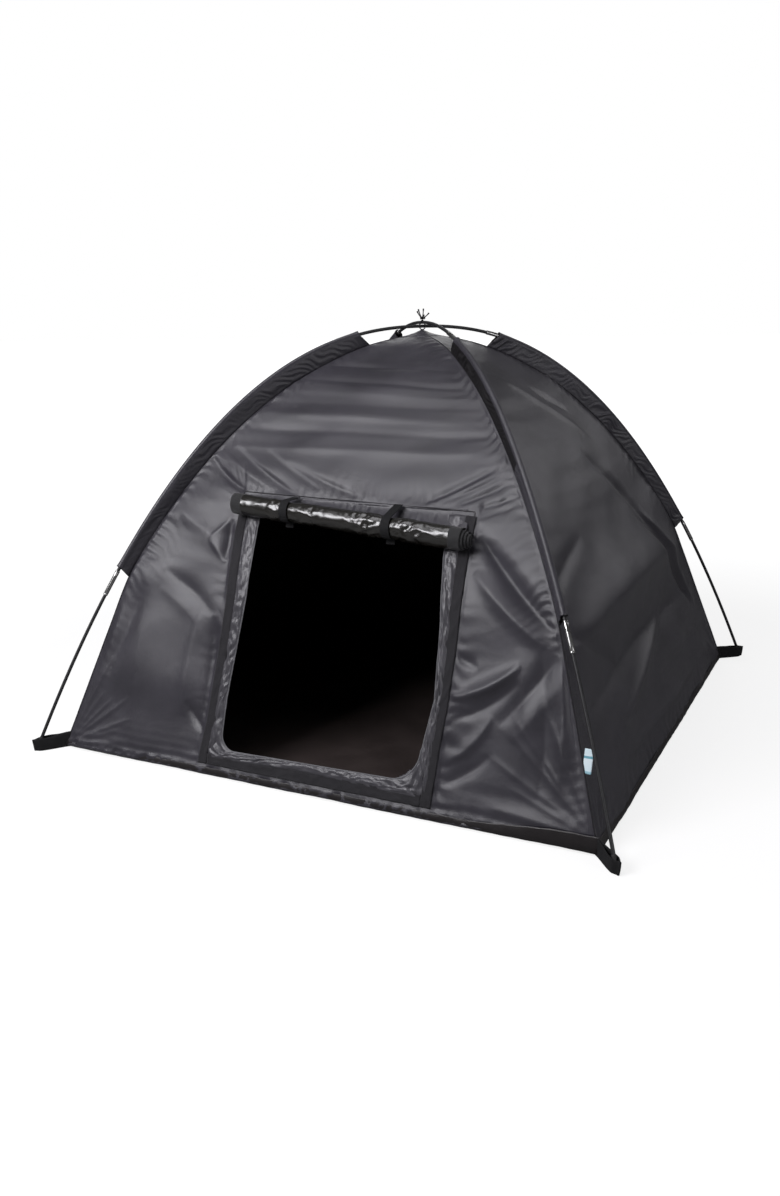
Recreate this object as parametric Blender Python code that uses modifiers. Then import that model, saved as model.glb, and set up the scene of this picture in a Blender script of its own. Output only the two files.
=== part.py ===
"""Blackout dome tent: a free-standing dark tent for changing film, with its door rolled up.

Frame: origin on the ground at the centre of the floor, +Z up, the door faces -Y.
Two crossed shock-corded poles stand in webbing loops at the corners and carry four fabric
walls in sleeves along the ridges.
"""
import math

import bmesh
import bpy
import numpy as np
from mathutils import Matrix, Vector

# ---------------------------------------------------------------- driving dimensions (metres)
FLOOR_HALF = 0.610           # half side of the square floor
POLE_FOOT_R = 0.910          # distance of a pole's lower end from the tent's axis
POLE_FOOT_Z = 0.030
POLE_RISE = 0.868            # from the foot of a pole to its crown
ARCH_POWER = 2.25            # a bent pole: flat crown, nearly straight legs
POLE_RADIUS = 0.00365
SECTIONS = 7                 # sections in one pole
SECTION_LENGTH = 0.380
FERRULE_HALF = 0.030
FERRULE_BORE = 0.00430
FERRULE_WALL = 0.00065
TIP_LENGTH = 0.018
TIP_RADIUS = 0.0046
CROSSING_LIFT = 0.0084       # the second pole rides over the first
CROSSING_REACH = 0.30        # and comes back to its own arch this far from the crown

CROWN_GAP = 0.019            # fabric below the pole at the crown
SLEEVE_GAP = 0.036           # fabric below the pole along the upper part of the sleeves
SLEEVE_GAP_REACH = 0.28      # measured along the pole from its crown, like the next four
FOOT_GAP = 0.025             # fabric below the pole where the sleeves end
FOOT_GAP_START = 0.34
SLEEVE_TOPS = {"front_left": 0.148, "front_right": 0.205, "back_right": 0.185, "back_left": 0.165}
SLEEVE_FOOT = 0.915
SLEEVE_HALF_WIDTH = 0.0068
SLEEVE_NECK = 0.62           # half width of the sleeve below the pole, as a part of that
SLEEVE_NECK_DEPTH = 0.45     # and how far down it is, as a part of the gap
SLEEVE_SEAM = (0.0016, 0.0036)   # the sleeve's edge: beside and above the ridge
SLEEVE_THICKNESS = 0.0008

FABRIC = 0.0015              # thickness of the wall solids
GROUNDSHEET = 0.0016
RIM_HEIGHT = 0.022           # the floor sheet turns up to meet the walls
CROWN_HALF = 0.036           # half side of the crown patch
GAP = 0.0003
BINDING_RADIUS = 0.0013

DOOR_CENTRE_X = 0.041
OPENING_WIDTH = 0.432
OPENING_BOTTOM = 0.058
OPENING_TOP = 0.545
OPENING_CORNER = 0.048
PIPING_RADIUS = 0.0012
SEAM_Z = 0.560               # the door hangs from this seam
SEAM_STAND_OFF = 0.005
ROLL_LENGTH = 0.545
ROLL_CENTRE_X = 0.037
ROLL_RADIUS = 0.024
ROLL_CLEARANCE = 0.004
ROLL_DROP_LEFT = 0.012       # roll's axis below the seam, at its two ends
ROLL_DROP_RIGHT = 0.047
FLAP_HALF = 0.001            # half the thickness of the flap between the seam and the roll

TAPE_WIDTH = 0.024           # hook tape around the opening
TAPE_THICKNESS = 0.001
TAPE_LEFT_X = -0.218
TAPE_RIGHT_X = 0.292
TAPE_BOTTOM_Z = 0.0375
TAPE_TOP_Z = 0.530
TAPE_STAND_OFF = 0.0006

TIE_X = (-0.103, 0.132)
TIE_WIDTH = 0.019
TIE_THICKNESS = 0.0014
TIE_CLEARANCE = 0.0007
TIE_TAB = 0.013
TIE_END_ANGLE = 282.0        # degrees round the roll, where the tie leaves it

LOOP_HEIGHT = 0.034          # webbing foot loops, standing on edge, at the tent's corner
LOOP_TIP_HEIGHT = 0.025      # and at their outer end
LOOP_THICKNESS = 0.0016
LOOP_START_R = 0.8664
LOOP_END_R = 0.9380
LOOP_HALF = 0.0072           # half width inside, at the pole's end
LOOP_PINCH = 0.0014          # and at the two ends

LABEL_WIDTH = 0.015
LABEL_HEIGHT = 0.044
LABEL_Z = 0.156
LABEL_THICKNESS = 0.0006
LABEL_STAND_OFF = 0.0022

TIE_CORD_RADIUS = 0.0012     # cord round the crossing of the poles
TIE_LOOP_HALF = 0.0090
TIE_CORD_GAP = 0.0010
KNOT_RADIUS = 0.0052
KNOT_RISE = 0.0036           # knot's middle above the top of the loop
CORD_ENDS = ((20.0, 0.010), (110.0, 0.013), (205.0, 0.009), (290.0, 0.012))   # direction, spread
CORD_END_RISE = 0.019

CORNERS = {"front_left": (-1, -1), "front_right": (1, -1), "back_right": (1, 1), "back_left": (-1, 1)}
WALLS = ("front_wall", "right_wall", "back_wall", "left_wall")
ROOT_HALF = math.sqrt(0.5)

COLOURS = {                  # colour, roughness, metallic
    "shell": ((0.028, 0.028, 0.032), 0.55, 0.0),
    "coated": ((0.018, 0.018, 0.019), 0.28, 0.0),
    "webbing": ((0.012, 0.012, 0.012), 0.85, 0.0),
    "tape": ((0.010, 0.010, 0.011), 0.90, 0.0),
    "pole": ((0.015, 0.015, 0.016), 0.35, 0.0),
    "steel": ((0.62, 0.62, 0.60), 0.30, 1.0),
    "rubber": ((0.012, 0.012, 0.012), 0.70, 0.0),
    "floor": ((0.020, 0.016, 0.015), 0.50, 0.0),
    "label": ((0.70, 0.80, 0.84), 0.60, 0.0),
    "piping": ((0.16, 0.16, 0.17), 0.60, 0.0),
}


# ---------------------------------------------------------------- scene and object helpers
def clear_scene():
    for obj in list(bpy.data.objects):
        bpy.data.objects.remove(obj, do_unlink=True)


def new_collection(name):
    collection = bpy.data.collections.new(name)
    bpy.context.scene.collection.children.link(collection)
    return collection


def make_material(name, kind):
    colour, roughness, metallic = COLOURS[kind]
    material = bpy.data.materials.new(name)
    material.use_nodes = True
    shader = material.node_tree.nodes["Principled BSDF"]
    shader.inputs["Base Color"].default_value = (*colour, 1.0)
    shader.inputs["Roughness"].default_value = roughness
    shader.inputs["Metallic"].default_value = metallic
    material.diffuse_color = (*colour, 1.0)
    return material


def add_object(name, data, kind, origin=(0.0, 0.0, 0.0)):
    """Link an object in the tent's collection, with its origin at the given place."""
    origin = Vector(origin)
    data.transform(Matrix.Translation(-origin))
    obj = bpy.data.objects.new(name, data)
    obj.location = origin
    TENT.objects.link(obj)
    data.materials.append(make_material(name, kind))
    return obj


def mesh_from(bm, name):
    mesh = bpy.data.meshes.new(name)
    bm.to_mesh(mesh)
    bm.free()
    return mesh


def solidify(obj, thickness, offset):
    modifier = obj.modifiers.new("thickness", "SOLIDIFY")
    modifier.thickness = thickness
    modifier.offset = offset
    modifier.use_even_offset = True
    return modifier


def tube_curve(name, points, radius, resolution=2, caps=True):
    curve = bpy.data.curves.new(name, "CURVE")
    curve.dimensions = "3D"
    curve.bevel_depth = radius
    curve.bevel_resolution = resolution
    curve.use_fill_caps = caps
    spline = curve.splines.new("POLY")
    spline.points.add(len(points) - 1)
    for knot, point in zip(spline.points, points):
        knot.co = (*point, 1.0)
    return curve


def curve_to_mesh(name, curve):
    """The curve's own surface as a mesh, with its caps welded on."""
    holder = bpy.data.objects.new(name, curve)
    TENT.objects.link(holder)
    depsgraph = bpy.context.evaluated_depsgraph_get()
    mesh = bpy.data.meshes.new_from_object(holder.evaluated_get(depsgraph))
    bpy.data.objects.remove(holder, do_unlink=True)
    bm = bmesh.new()
    bm.from_mesh(mesh)
    bmesh.ops.remove_doubles(bm, verts=bm.verts, dist=0.00001)
    bm.to_mesh(mesh)
    bm.free()
    return mesh


def ribbon(name, path, across, widths, kind, thickness, offset, cyclic=False, origin=(0, 0, 0)):
    """A strip that follows a path, as wide at each point as widths says, given its thickness.

    Its faces look towards the path's direction crossed with across."""
    bm = bmesh.new()
    across = Vector(across)
    edges = []
    for point, width in zip(path, widths):
        half = across * (width / 2)
        edges.append((bm.verts.new(Vector(point) - half), bm.verts.new(Vector(point) + half)))
    pairs = list(zip(edges, edges[1:]))
    if cyclic:
        pairs.append((edges[-1], edges[0]))
    for (left_0, right_0), (left_1, right_1) in pairs:
        bm.faces.new((left_0, left_1, right_1, right_0))
    obj = add_object(name, mesh_from(bm, name), kind, origin)
    solidify(obj, thickness, offset)
    return obj


# ---------------------------------------------------------------- the arch and the ridge under it
def arch_table():
    """Distance along the pole from its crown, with radius and height there."""
    radius = np.linspace(0.0, POLE_FOOT_R, 1200)
    height = POLE_FOOT_Z + POLE_RISE * (1.0 - (radius / POLE_FOOT_R) ** ARCH_POWER)
    steps = np.hypot(np.diff(radius), np.diff(height))
    return np.concatenate([[0.0], np.cumsum(steps)]), radius, height


ARCH_S, ARCH_R, ARCH_Z = arch_table()
HALF_POLE = float(ARCH_S[-1])


def arch_slope(s):
    """Unit tangent (dr, dz) of the arch at a distance from its crown, s >= 0."""
    radius = float(np.interp(s, ARCH_S, ARCH_R))
    fall = -POLE_RISE * ARCH_POWER / POLE_FOOT_R * (radius / POLE_FOOT_R) ** (ARCH_POWER - 1.0)
    length = math.hypot(1.0, fall)
    return 1.0 / length, fall / length


def arch_point(s, lifted):
    """Signed radius and height at a signed distance from the crown, straight past the foot."""
    distance = abs(s)
    radius = float(np.interp(distance, ARCH_S, ARCH_R))
    height = float(np.interp(distance, ARCH_S, ARCH_Z))
    past = max(0.0, distance - HALF_POLE)
    if past:
        along_r, along_z = arch_slope(HALF_POLE)
        radius += past * along_r
        height += past * along_z
    if lifted and distance < CROSSING_REACH:
        height += CROSSING_LIFT * 0.5 * (1.0 + math.cos(math.pi * distance / CROSSING_REACH))
    return math.copysign(radius, s), height


def on_diagonal(radius, height, corner):
    sx, sy = corner
    return Vector((sx * radius * ROOT_HALF, sy * radius * ROOT_HALF, height))


def smooth_step(t):
    t = min(1.0, max(0.0, t))
    return t * t * (3.0 - 2.0 * t)


def fabric_gap(s):
    """How far the ridge hangs below the pole, at a distance along the pole from its crown."""
    gap = CROWN_GAP + (SLEEVE_GAP - CROWN_GAP) * smooth_step(s / SLEEVE_GAP_REACH)
    low = smooth_step((s - FOOT_GAP_START) / (SLEEVE_FOOT - FOOT_GAP_START))
    return gap + (FOOT_GAP - gap) * low


def ridge_profile():
    """Radius and height of a ridge from the crown patch's corner to the floor's corner."""
    profile = []
    steps = 18
    first = 0.040
    for k in range(steps + 1):
        s = first + (SLEEVE_FOOT - first) * k / steps
        radius, height = arch_point(s, lifted=False)
        along_r, along_z = arch_slope(s)
        gap = fabric_gap(s)
        profile.append((radius + gap * along_z, height - gap * along_r))
    profile = [p for p in profile if p[0] * ROOT_HALF > CROWN_HALF + 0.008]
    return profile + [(FLOOR_HALF / ROOT_HALF, 0.0)]


RIDGE = ridge_profile()
RIDGE_Z = [z for _, z in reversed(RIDGE)]
RIDGE_HALF = [r * ROOT_HALF for r, _ in reversed(RIDGE)]
CROWN_Z = POLE_FOOT_Z + POLE_RISE - CROWN_GAP


def half_width(z):
    """Half the tent's width at a height: each wall is this far from the axis."""
    if z > RIDGE_Z[-1]:
        t = (z - RIDGE_Z[-1]) / (CROWN_Z - RIDGE_Z[-1])
        return RIDGE_HALF[-1] * (1.0 - t)
    return float(np.interp(z, RIDGE_Z, RIDGE_HALF))


def wall_lean(z):
    """Horizontal part of the wall's normal at a height: 1 for an upright wall."""
    step = 0.01
    spread = half_width(z - step) - half_width(z + step)
    return 2 * step / math.hypot(2 * step, spread)


def wall_heights(low, high):
    """Heights of the wall's rows between two heights, with both ends."""
    inner = [z for z in RIDGE_Z if low + 0.004 < z < high - 0.004]
    return [low] + inner + [high]


def crown_edge_z():
    low, high = RIDGE_Z[-1], CROWN_Z
    return high - (high - low) * CROWN_HALF / RIDGE_HALF[-1]


# ---------------------------------------------------------------- poles
def make_pole(letter, corner, lifted):
    """Seven sections end to end, a ferrule over each joint and a tip at each end."""
    joints = [SECTION_LENGTH * (k - SECTIONS / 2) for k in range(1, SECTIONS)]
    ends = [-HALF_POLE] + joints + [HALF_POLE]
    for k, (start, stop) in enumerate(zip(ends, ends[1:]), 1):
        stations = [start + GAP / 2, start + FERRULE_HALF]
        inner = np.linspace(start + FERRULE_HALF, stop - FERRULE_HALF, 8)[1:-1]
        stations += [float(s) for s in inner] + [stop - FERRULE_HALF, stop - GAP / 2]
        points = [on_diagonal(*arch_point(s, lifted), corner) for s in stations]
        name = f"pole_{letter}_section_{k}"
        add_object(name, tube_curve(name, points, POLE_RADIUS), "pole")
    for k, joint in enumerate(joints, 1):
        stations = (joint - FERRULE_HALF, joint, joint + FERRULE_HALF)
        points = [on_diagonal(*arch_point(s, lifted), corner) for s in stations]
        name = f"pole_{letter}_ferrule_{k}"
        open_tube = tube_curve(name, points, FERRULE_BORE, caps=False)
        solidify(add_object(name, curve_to_mesh(name, open_tube), "steel"), FERRULE_WALL, 1.0)
    for k, side in enumerate((-1, 1), 1):
        stations = (side * (HALF_POLE + GAP), side * (HALF_POLE + TIP_LENGTH))
        points = [on_diagonal(*arch_point(s, lifted), corner) for s in stations]
        name = f"pole_{letter}_tip_{k}"
        add_object(name, tube_curve(name, points, TIP_RADIUS), "rubber")


# ---------------------------------------------------------------- sleeves and ridge bindings
def sleeve_section(gap):
    """Cross-section of a sleeve: up one side of the pole, over it and down the other."""
    foot = (SLEEVE_SEAM[0], -gap + SLEEVE_SEAM[1])
    neck = (SLEEVE_HALF_WIDTH * SLEEVE_NECK, -gap * SLEEVE_NECK_DEPTH)
    side = [foot, neck]
    for k in range(4):
        angle = math.radians(k * 30.0)
        side.append((SLEEVE_HALF_WIDTH * math.cos(angle), SLEEVE_HALF_WIDTH * math.sin(angle)))
    return [(-b, n) for b, n in side[:-1]] + [(b, n) for b, n in reversed(side)]


def make_sleeve(name, top, corner, lifted):
    """A sleeve from a distance along the pole down to its foot, open along the ridge."""
    bm = bmesh.new()
    sx, sy = corner
    beside = Vector((-sy * ROOT_HALF, sx * ROOT_HALF, 0.0))
    rows = []
    count = 13
    for k in range(count):
        s = top + (SLEEVE_FOOT - top) * k / (count - 1)
        along_r, along_z = arch_slope(s)
        centre = on_diagonal(*arch_point(s, lifted), corner)
        outward = on_diagonal(-along_z, along_r, corner)
        row = []
        for b, n in sleeve_section(fabric_gap(s)):
            row.append(bm.verts.new(centre + beside * b + outward * n))
        rows.append(row)
    for upper, lower in zip(rows, rows[1:]):
        for k in range(len(upper) - 1):
            bm.faces.new((upper[k], lower[k], lower[k + 1], upper[k + 1]))
    obj = add_object(name, mesh_from(bm, name), "shell")
    solidify(obj, SLEEVE_THICKNESS, 1.0)


def make_binding(name, corner):
    heights = wall_heights(RIM_HEIGHT + 0.003, RIDGE_Z[-1])
    points = [on_diagonal(half_width(z) / ROOT_HALF, z, corner) for z in heights]
    add_object(name, tube_curve(name, points, BINDING_RADIUS, resolution=1), "webbing")


# ---------------------------------------------------------------- walls and floor
def opening_outline(inset):
    """The door opening seen from the front: down the left, along the bottom, up the right."""
    half = OPENING_WIDTH / 2 - inset
    bottom = OPENING_BOTTOM + inset
    corner = OPENING_CORNER - inset
    left, right = DOOR_CENTRE_X - half, DOOR_CENTRE_X + half
    points = [(left, OPENING_TOP)]
    for centre_x, first in ((left + corner, 180.0), (right - corner, 270.0)):
        for k in range(7):
            angle = math.radians(first + 15.0 * k)
            points.append((centre_x + corner * math.cos(angle), bottom + corner + corner * math.sin(angle)))
    return points + [(right, OPENING_TOP)]


def make_door_cutter():
    bm = bmesh.new()
    near, far = -FLOOR_HALF - 0.05, -0.25
    ring = [bm.verts.new((x, near, z)) for x, z in opening_outline(0.0)]
    face = bm.faces.new(ring)
    moved = bmesh.ops.extrude_face_region(bm, geom=[face])["geom"]
    verts = [v for v in moved if isinstance(v, bmesh.types.BMVert)]
    bmesh.ops.translate(bm, verts=verts, vec=(0.0, far - near, 0.0))
    bmesh.ops.recalc_face_normals(bm, faces=bm.faces)
    cutter = bpy.data.objects.new("door_cutter", mesh_from(bm, "door_cutter"))
    cutter.hide_render = True
    cutter.display_type = "WIRE"
    CUTTERS.objects.link(cutter)
    return cutter


def make_walls():
    heights = wall_heights(RIM_HEIGHT + GAP, crown_edge_z() - 0.002)
    path = [(0.0, -half_width(z), z) for z in heights]
    widths = []
    for z in heights:
        lean = min(wall_lean(z), wall_lean(z + 0.01), wall_lean(z - 0.008))
        clear = FABRIC / lean + 2 * GAP
        widths.append(2 * (half_width(z) - clear))
    for k, name in enumerate(WALLS):
        wall = ribbon(name, path, (-1, 0, 0), widths, "shell", FABRIC, -1.0)
        wall.rotation_euler = (0.0, 0.0, math.radians(90.0 * k))
        if name == "front_wall":
            cut = wall.modifiers.new("door_opening", "BOOLEAN")
            cut.operation = "DIFFERENCE"
            cut.object = make_door_cutter()


def make_groundsheet():
    """The floor sheet, turned up at its edges like a shallow tray."""
    bm = bmesh.new()
    bmesh.ops.create_cube(bm, size=2.0)
    top = half_width(RIM_HEIGHT)
    for vert in bm.verts:
        half = top if vert.co.z > 0 else FLOOR_HALF
        height = RIM_HEIGHT if vert.co.z > 0 else 0.0
        vert.co = (math.copysign(half, vert.co.x), math.copysign(half, vert.co.y), height)
    bm.normal_update()
    lid = [f for f in bm.faces if f.normal.z > 0.9]
    bmesh.ops.delete(bm, geom=lid, context="FACES_ONLY")
    solidify(add_object("groundsheet", mesh_from(bm, "groundsheet"), "floor"), GROUNDSHEET, -1.0)


def make_crown_patch():
    """The square patch that the four walls' tops are sewn to."""
    bm = bmesh.new()
    apex = bm.verts.new((0.0, 0.0, CROWN_Z))
    edge = crown_edge_z()
    ring = [bm.verts.new((sx * CROWN_HALF, sy * CROWN_HALF, edge)) for sx, sy in CORNERS.values()]
    for a, b in zip(ring, ring[1:] + ring[:1]):
        bm.faces.new((apex, a, b))
    solidify(add_object("crown_patch", mesh_from(bm, "crown_patch"), "shell"), FABRIC, -1.0)


# ---------------------------------------------------------------- the door
def seam_point():
    return Vector((0.0, -half_width(SEAM_Z) - SEAM_STAND_OFF, SEAM_Z))


def roll_centre(x):
    """Where the roll's axis passes a place along the door."""
    t = (x - ROLL_CENTRE_X) / ROLL_LENGTH + 0.5
    z = SEAM_Z - (ROLL_DROP_LEFT + (ROLL_DROP_RIGHT - ROLL_DROP_LEFT) * t)
    y = -half_width(z) - (ROLL_RADIUS + ROLL_CLEARANCE) / wall_lean(z)
    return Vector((x, y, z))


def roll_section(x):
    """Outline of the rolled door at a place: the round roll and the flap up to the seam."""
    centre = roll_centre(x)
    seam = seam_point()
    seam.x = x
    away = centre - seam
    base = math.atan2(-away.z, -away.y)
    notch = math.asin(FLAP_HALF / ROLL_RADIUS)
    sides = 24
    outline = []
    for k in range(sides + 1):
        angle = base + notch + (2 * math.pi - 2 * notch) * k / sides
        outline.append(centre + Vector((0.0, math.cos(angle), math.sin(angle))) * ROLL_RADIUS)
    beside = Vector((0.0, -math.sin(base), math.cos(base))) * FLAP_HALF
    return outline + [seam - beside, seam + beside]


def make_door_roll():
    bm = bmesh.new()
    left, right = ROLL_CENTRE_X - ROLL_LENGTH / 2, ROLL_CENTRE_X + ROLL_LENGTH / 2
    rings = [[bm.verts.new(p) for p in roll_section(x)] for x in (left, right)]
    count = len(rings[0])
    for k in range(count):
        after = (k + 1) % count
        bm.faces.new((rings[0][k], rings[0][after], rings[1][after], rings[1][k]))
    bm.faces.new(rings[0])
    bm.faces.new(rings[1])
    bmesh.ops.recalc_face_normals(bm, faces=bm.faces)
    return add_object("door_roll", mesh_from(bm, "door_roll"), "coated", seam_point())


def tie_paths(x):
    """Centre lines of a tie's band over the roll and its tail below, and the line between them."""
    centre, seam = roll_centre(x), seam_point()
    seam.x = x
    radius = ROLL_RADIUS + TIE_CLEARANCE + TIE_THICKNESS / 2
    away = centre - seam
    base = math.atan2(-away.z, -away.y)
    beside = Vector((0.0, -math.sin(base), math.cos(base)))
    root = seam + beside * (FLAP_HALF + TIE_CLEARANCE + TIE_THICKNESS / 2) + away.normalized() * 0.001
    reach = (root - centre).length
    root_angle = math.atan2((root - centre).z, (root - centre).y)
    touch = root_angle + math.acos(radius / reach)
    bend = base + math.pi
    end = math.radians(TIE_END_ANGLE)
    slack = GAP / radius

    def around(angle):
        return centre + Vector((0.0, math.cos(angle), math.sin(angle))) * radius

    band = [root] + [around(a) for a in np.linspace(touch, bend - slack, 9)]
    tail = [around(a) for a in np.linspace(bend + slack, end, 6)]
    tail.append(tail[-1] + Vector((0.0, 0.0, -TIE_TAB)))
    outside = radius + TIE_THICKNESS / 2
    pin = centre + Vector((0.0, math.cos(bend), math.sin(bend))) * outside
    return band, tail, pin


def make_door_ties(door_roll):
    for side, x in zip(("left", "right"), TIE_X):
        band, tail, pin = tie_paths(x)
        seam = seam_point()
        seam.x = x
        for name, path, origin in ((f"tie_{side}_band", band, seam), (f"tie_{side}_tail", tail, pin)):
            link = ribbon(name, path, (1, 0, 0), [TIE_WIDTH] * len(path), "webbing", TIE_THICKNESS, 0.0,
                          origin=origin)
            link.parent = door_roll
            link.matrix_parent_inverse = Matrix.Translation(-door_roll.location)


# ---------------------------------------------------------------- trim
def make_hook_tapes():
    for side, x in (("left", TAPE_LEFT_X), ("right", TAPE_RIGHT_X)):
        heights = wall_heights(TAPE_BOTTOM_Z - TAPE_WIDTH / 2, TAPE_TOP_Z)
        path = [(x, -half_width(z) - TAPE_STAND_OFF, z) for z in heights]
        ribbon(f"hook_tape_{side}", path, (-1, 0, 0), [TAPE_WIDTH] * len(path), "tape", TAPE_THICKNESS, 1.0)
    lean = wall_lean(TAPE_BOTTOM_Z)
    across = (0.0, math.sqrt(1.0 - lean * lean), lean)
    inside = TAPE_WIDTH / 2 + GAP
    ends = (TAPE_LEFT_X + inside, TAPE_RIGHT_X - inside)
    y = -half_width(TAPE_BOTTOM_Z) - TAPE_STAND_OFF
    path = [(x, y, TAPE_BOTTOM_Z) for x in ends]
    ribbon("hook_tape_bottom", path, across, [TAPE_WIDTH] * 2, "tape", TAPE_THICKNESS, 1.0)


def make_opening_piping():
    points = []
    outline = opening_outline(PIPING_RADIUS + 3 * GAP)
    left, right = outline[0][0], outline[-1][0]
    low = outline[1][1]
    sides = wall_heights(low, OPENING_TOP - 0.004)
    points += [(left, z) for z in reversed(sides)]
    points += outline[2:-2]
    points += [(right, z) for z in sides]
    path = [(x, -half_width(z) + FABRIC * 0.5, z) for x, z in points]
    add_object("opening_piping", tube_curve("opening_piping", path, PIPING_RADIUS, resolution=1), "piping")


def make_foot_loop(name, corner):
    """Webbing sewn to the floor's corner, doubled back round the end of the pole."""
    sx, sy = corner
    tip_r, _ = arch_point(HALF_POLE + TIP_LENGTH / 2, lifted=False)
    plan = []
    steps = 8
    for k in range(steps + 1):
        t = k / steps
        r = LOOP_START_R + (LOOP_END_R - LOOP_START_R) * t
        reach = (tip_r - LOOP_START_R) if r < tip_r else (LOOP_END_R - tip_r)
        bulge = 0.5 * (1.0 + math.cos(math.pi * (r - tip_r) / reach))
        height = LOOP_HEIGHT + (LOOP_TIP_HEIGHT - LOOP_HEIGHT) * t
        plan.append((r, LOOP_PINCH + (LOOP_HALF - LOOP_PINCH) * bulge, height))
    outline = plan + [(r, -b, height) for r, b, height in reversed(plan)]
    path = []
    for r, b, height in outline:
        path.append(((sx * r - sy * b) * ROOT_HALF, (sy * r + sx * b) * ROOT_HALF, height / 2))
    heights = [height for _, _, height in outline]
    ribbon(name, path, (0, 0, -1), heights, "webbing", LOOP_THICKNESS, 1.0, cyclic=True)


def make_label():
    """A tag caught in the front right ridge seam, standing out in line with the front wall."""
    lean = wall_lean(LABEL_Z)
    across = (0.0, math.sqrt(1.0 - lean * lean), lean)
    inner = half_width(LABEL_Z - LABEL_HEIGHT / 2) + LABEL_STAND_OFF
    y = -half_width(LABEL_Z)
    path = [(inner, y, LABEL_Z), (inner + LABEL_WIDTH, y, LABEL_Z)]
    ribbon("care_label", path, across, [LABEL_HEIGHT] * 2, "label", LABEL_THICKNESS, 1.0)


def join_parts(name, parts, kind):
    """One solid from overlapping meshes, with exact unions."""
    base = bpy.data.objects.new(name, parts[0])
    TENT.objects.link(base)
    for k, mesh in enumerate(parts[1:], 1):
        piece = bpy.data.objects.new(f"{name}_piece_{k}", mesh)
        CUTTERS.objects.link(piece)
        piece.hide_render = True
        piece.display_type = "WIRE"
        union = base.modifiers.new(f"union_{k}", "BOOLEAN")
        union.operation = "UNION"
        union.object = piece
    base.data.materials.append(make_material(name, kind))
    return base


def rounded(value, power):
    """A cosine or sine made squarer, for a loop with flat sides."""
    return math.copysign(abs(value) ** power, value)


def make_crown_tie():
    """A cord looped round the crossing of the poles and knotted on top, with four short ends."""
    low = CROWN_Z + TIE_CORD_RADIUS + TIE_CORD_GAP
    high = POLE_FOOT_Z + POLE_RISE + CROSSING_LIFT + POLE_RADIUS + TIE_CORD_RADIUS + TIE_CORD_GAP
    middle, rise = (low + high) / 2, (high - low) / 2
    loop = []
    for k in range(17):
        angle = 2 * math.pi * k / 16 + math.pi / 2
        x = TIE_LOOP_HALF * rounded(math.cos(angle), 0.6)
        loop.append((x, 0.0, middle + rise * rounded(math.sin(angle), 0.8)))
    parts = [curve_to_mesh("loop", tube_curve("loop", loop, TIE_CORD_RADIUS))]
    top = Vector((0.0, 0.0, high + KNOT_RISE))
    bm = bmesh.new()
    bmesh.ops.create_icosphere(bm, subdivisions=2, radius=KNOT_RADIUS)
    bmesh.ops.translate(bm, verts=bm.verts, vec=top)
    parts.append(mesh_from(bm, "knot"))
    for turn, spread in CORD_ENDS:
        angle = math.radians(turn)
        side = Vector((math.cos(angle), math.sin(angle), 0.0)) * spread
        rise_up = Vector((0.0, 0.0, CORD_END_RISE))
        end = [top, top + side * 0.5 + rise_up * 0.47, top + side + rise_up]
        parts.append(curve_to_mesh("end", tube_curve("end", end, TIE_CORD_RADIUS)))
    join_parts("crown_tie", parts, "webbing")


# ---------------------------------------------------------------- build
clear_scene()
TENT = new_collection("blackout_tent")
CUTTERS = new_collection("cutters")

make_pole("a", (1, 1), lifted=False)
make_pole("b", (1, -1), lifted=True)
for place, corner_signs in CORNERS.items():
    crosses_over = corner_signs[0] != corner_signs[1]
    make_sleeve(f"sleeve_{place}", SLEEVE_TOPS[place], corner_signs, crosses_over)
    make_binding(f"ridge_binding_{place}", corner_signs)
    make_foot_loop(f"foot_loop_{place}", corner_signs)
make_walls()
make_groundsheet()
make_crown_patch()
make_crown_tie()
make_door_ties(make_door_roll())
make_hook_tapes()
make_opening_piping()
make_label()
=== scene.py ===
"""Looks of the blackout dome tent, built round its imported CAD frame."""

import math

import bmesh
import bpy
import numpy as np
from mathutils import Matrix, Vector


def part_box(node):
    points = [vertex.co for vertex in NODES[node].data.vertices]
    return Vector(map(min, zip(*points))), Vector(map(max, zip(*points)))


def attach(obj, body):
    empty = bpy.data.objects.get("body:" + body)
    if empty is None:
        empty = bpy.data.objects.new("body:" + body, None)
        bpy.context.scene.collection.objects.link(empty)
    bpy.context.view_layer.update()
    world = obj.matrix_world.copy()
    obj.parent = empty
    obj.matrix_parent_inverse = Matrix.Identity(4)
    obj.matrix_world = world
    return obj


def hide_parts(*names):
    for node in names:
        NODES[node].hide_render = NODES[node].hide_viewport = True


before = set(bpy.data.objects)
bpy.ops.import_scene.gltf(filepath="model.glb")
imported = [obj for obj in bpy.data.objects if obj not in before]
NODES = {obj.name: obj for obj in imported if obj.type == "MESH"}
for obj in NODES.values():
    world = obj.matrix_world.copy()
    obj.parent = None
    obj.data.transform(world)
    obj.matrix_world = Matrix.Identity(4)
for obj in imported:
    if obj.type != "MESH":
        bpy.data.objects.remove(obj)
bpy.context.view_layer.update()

# ---------------- design dimensions, as in the CAD
POLE_FOOT_R, POLE_FOOT_Z, POLE_RISE, ARCH_POWER = 0.910, 0.030, 0.868, 2.25
POLE_RADIUS, SECTIONS, SECTION_LENGTH = 0.00365, 7, 0.380
FERRULE_HALF, FERRULE_RADIUS, TIP_LENGTH, TIP_RADIUS = 0.030, 0.0048, 0.018, 0.0046
CROSSING_LIFT, CROSSING_REACH = 0.0084, 0.30
CROWN_GAP, SLEEVE_GAP, SLEEVE_GAP_REACH = 0.019, 0.036, 0.28
FOOT_GAP, FOOT_GAP_START = 0.025, 0.34
SLEEVE_TOPS = {"front_left": 0.148, "front_right": 0.205, "back_right": 0.185, "back_left": 0.165}
SLEEVE_FOOT, SLEEVE_HALF_WIDTH = 0.915, 0.0062
ROOT_HALF = math.sqrt(0.5)
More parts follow.
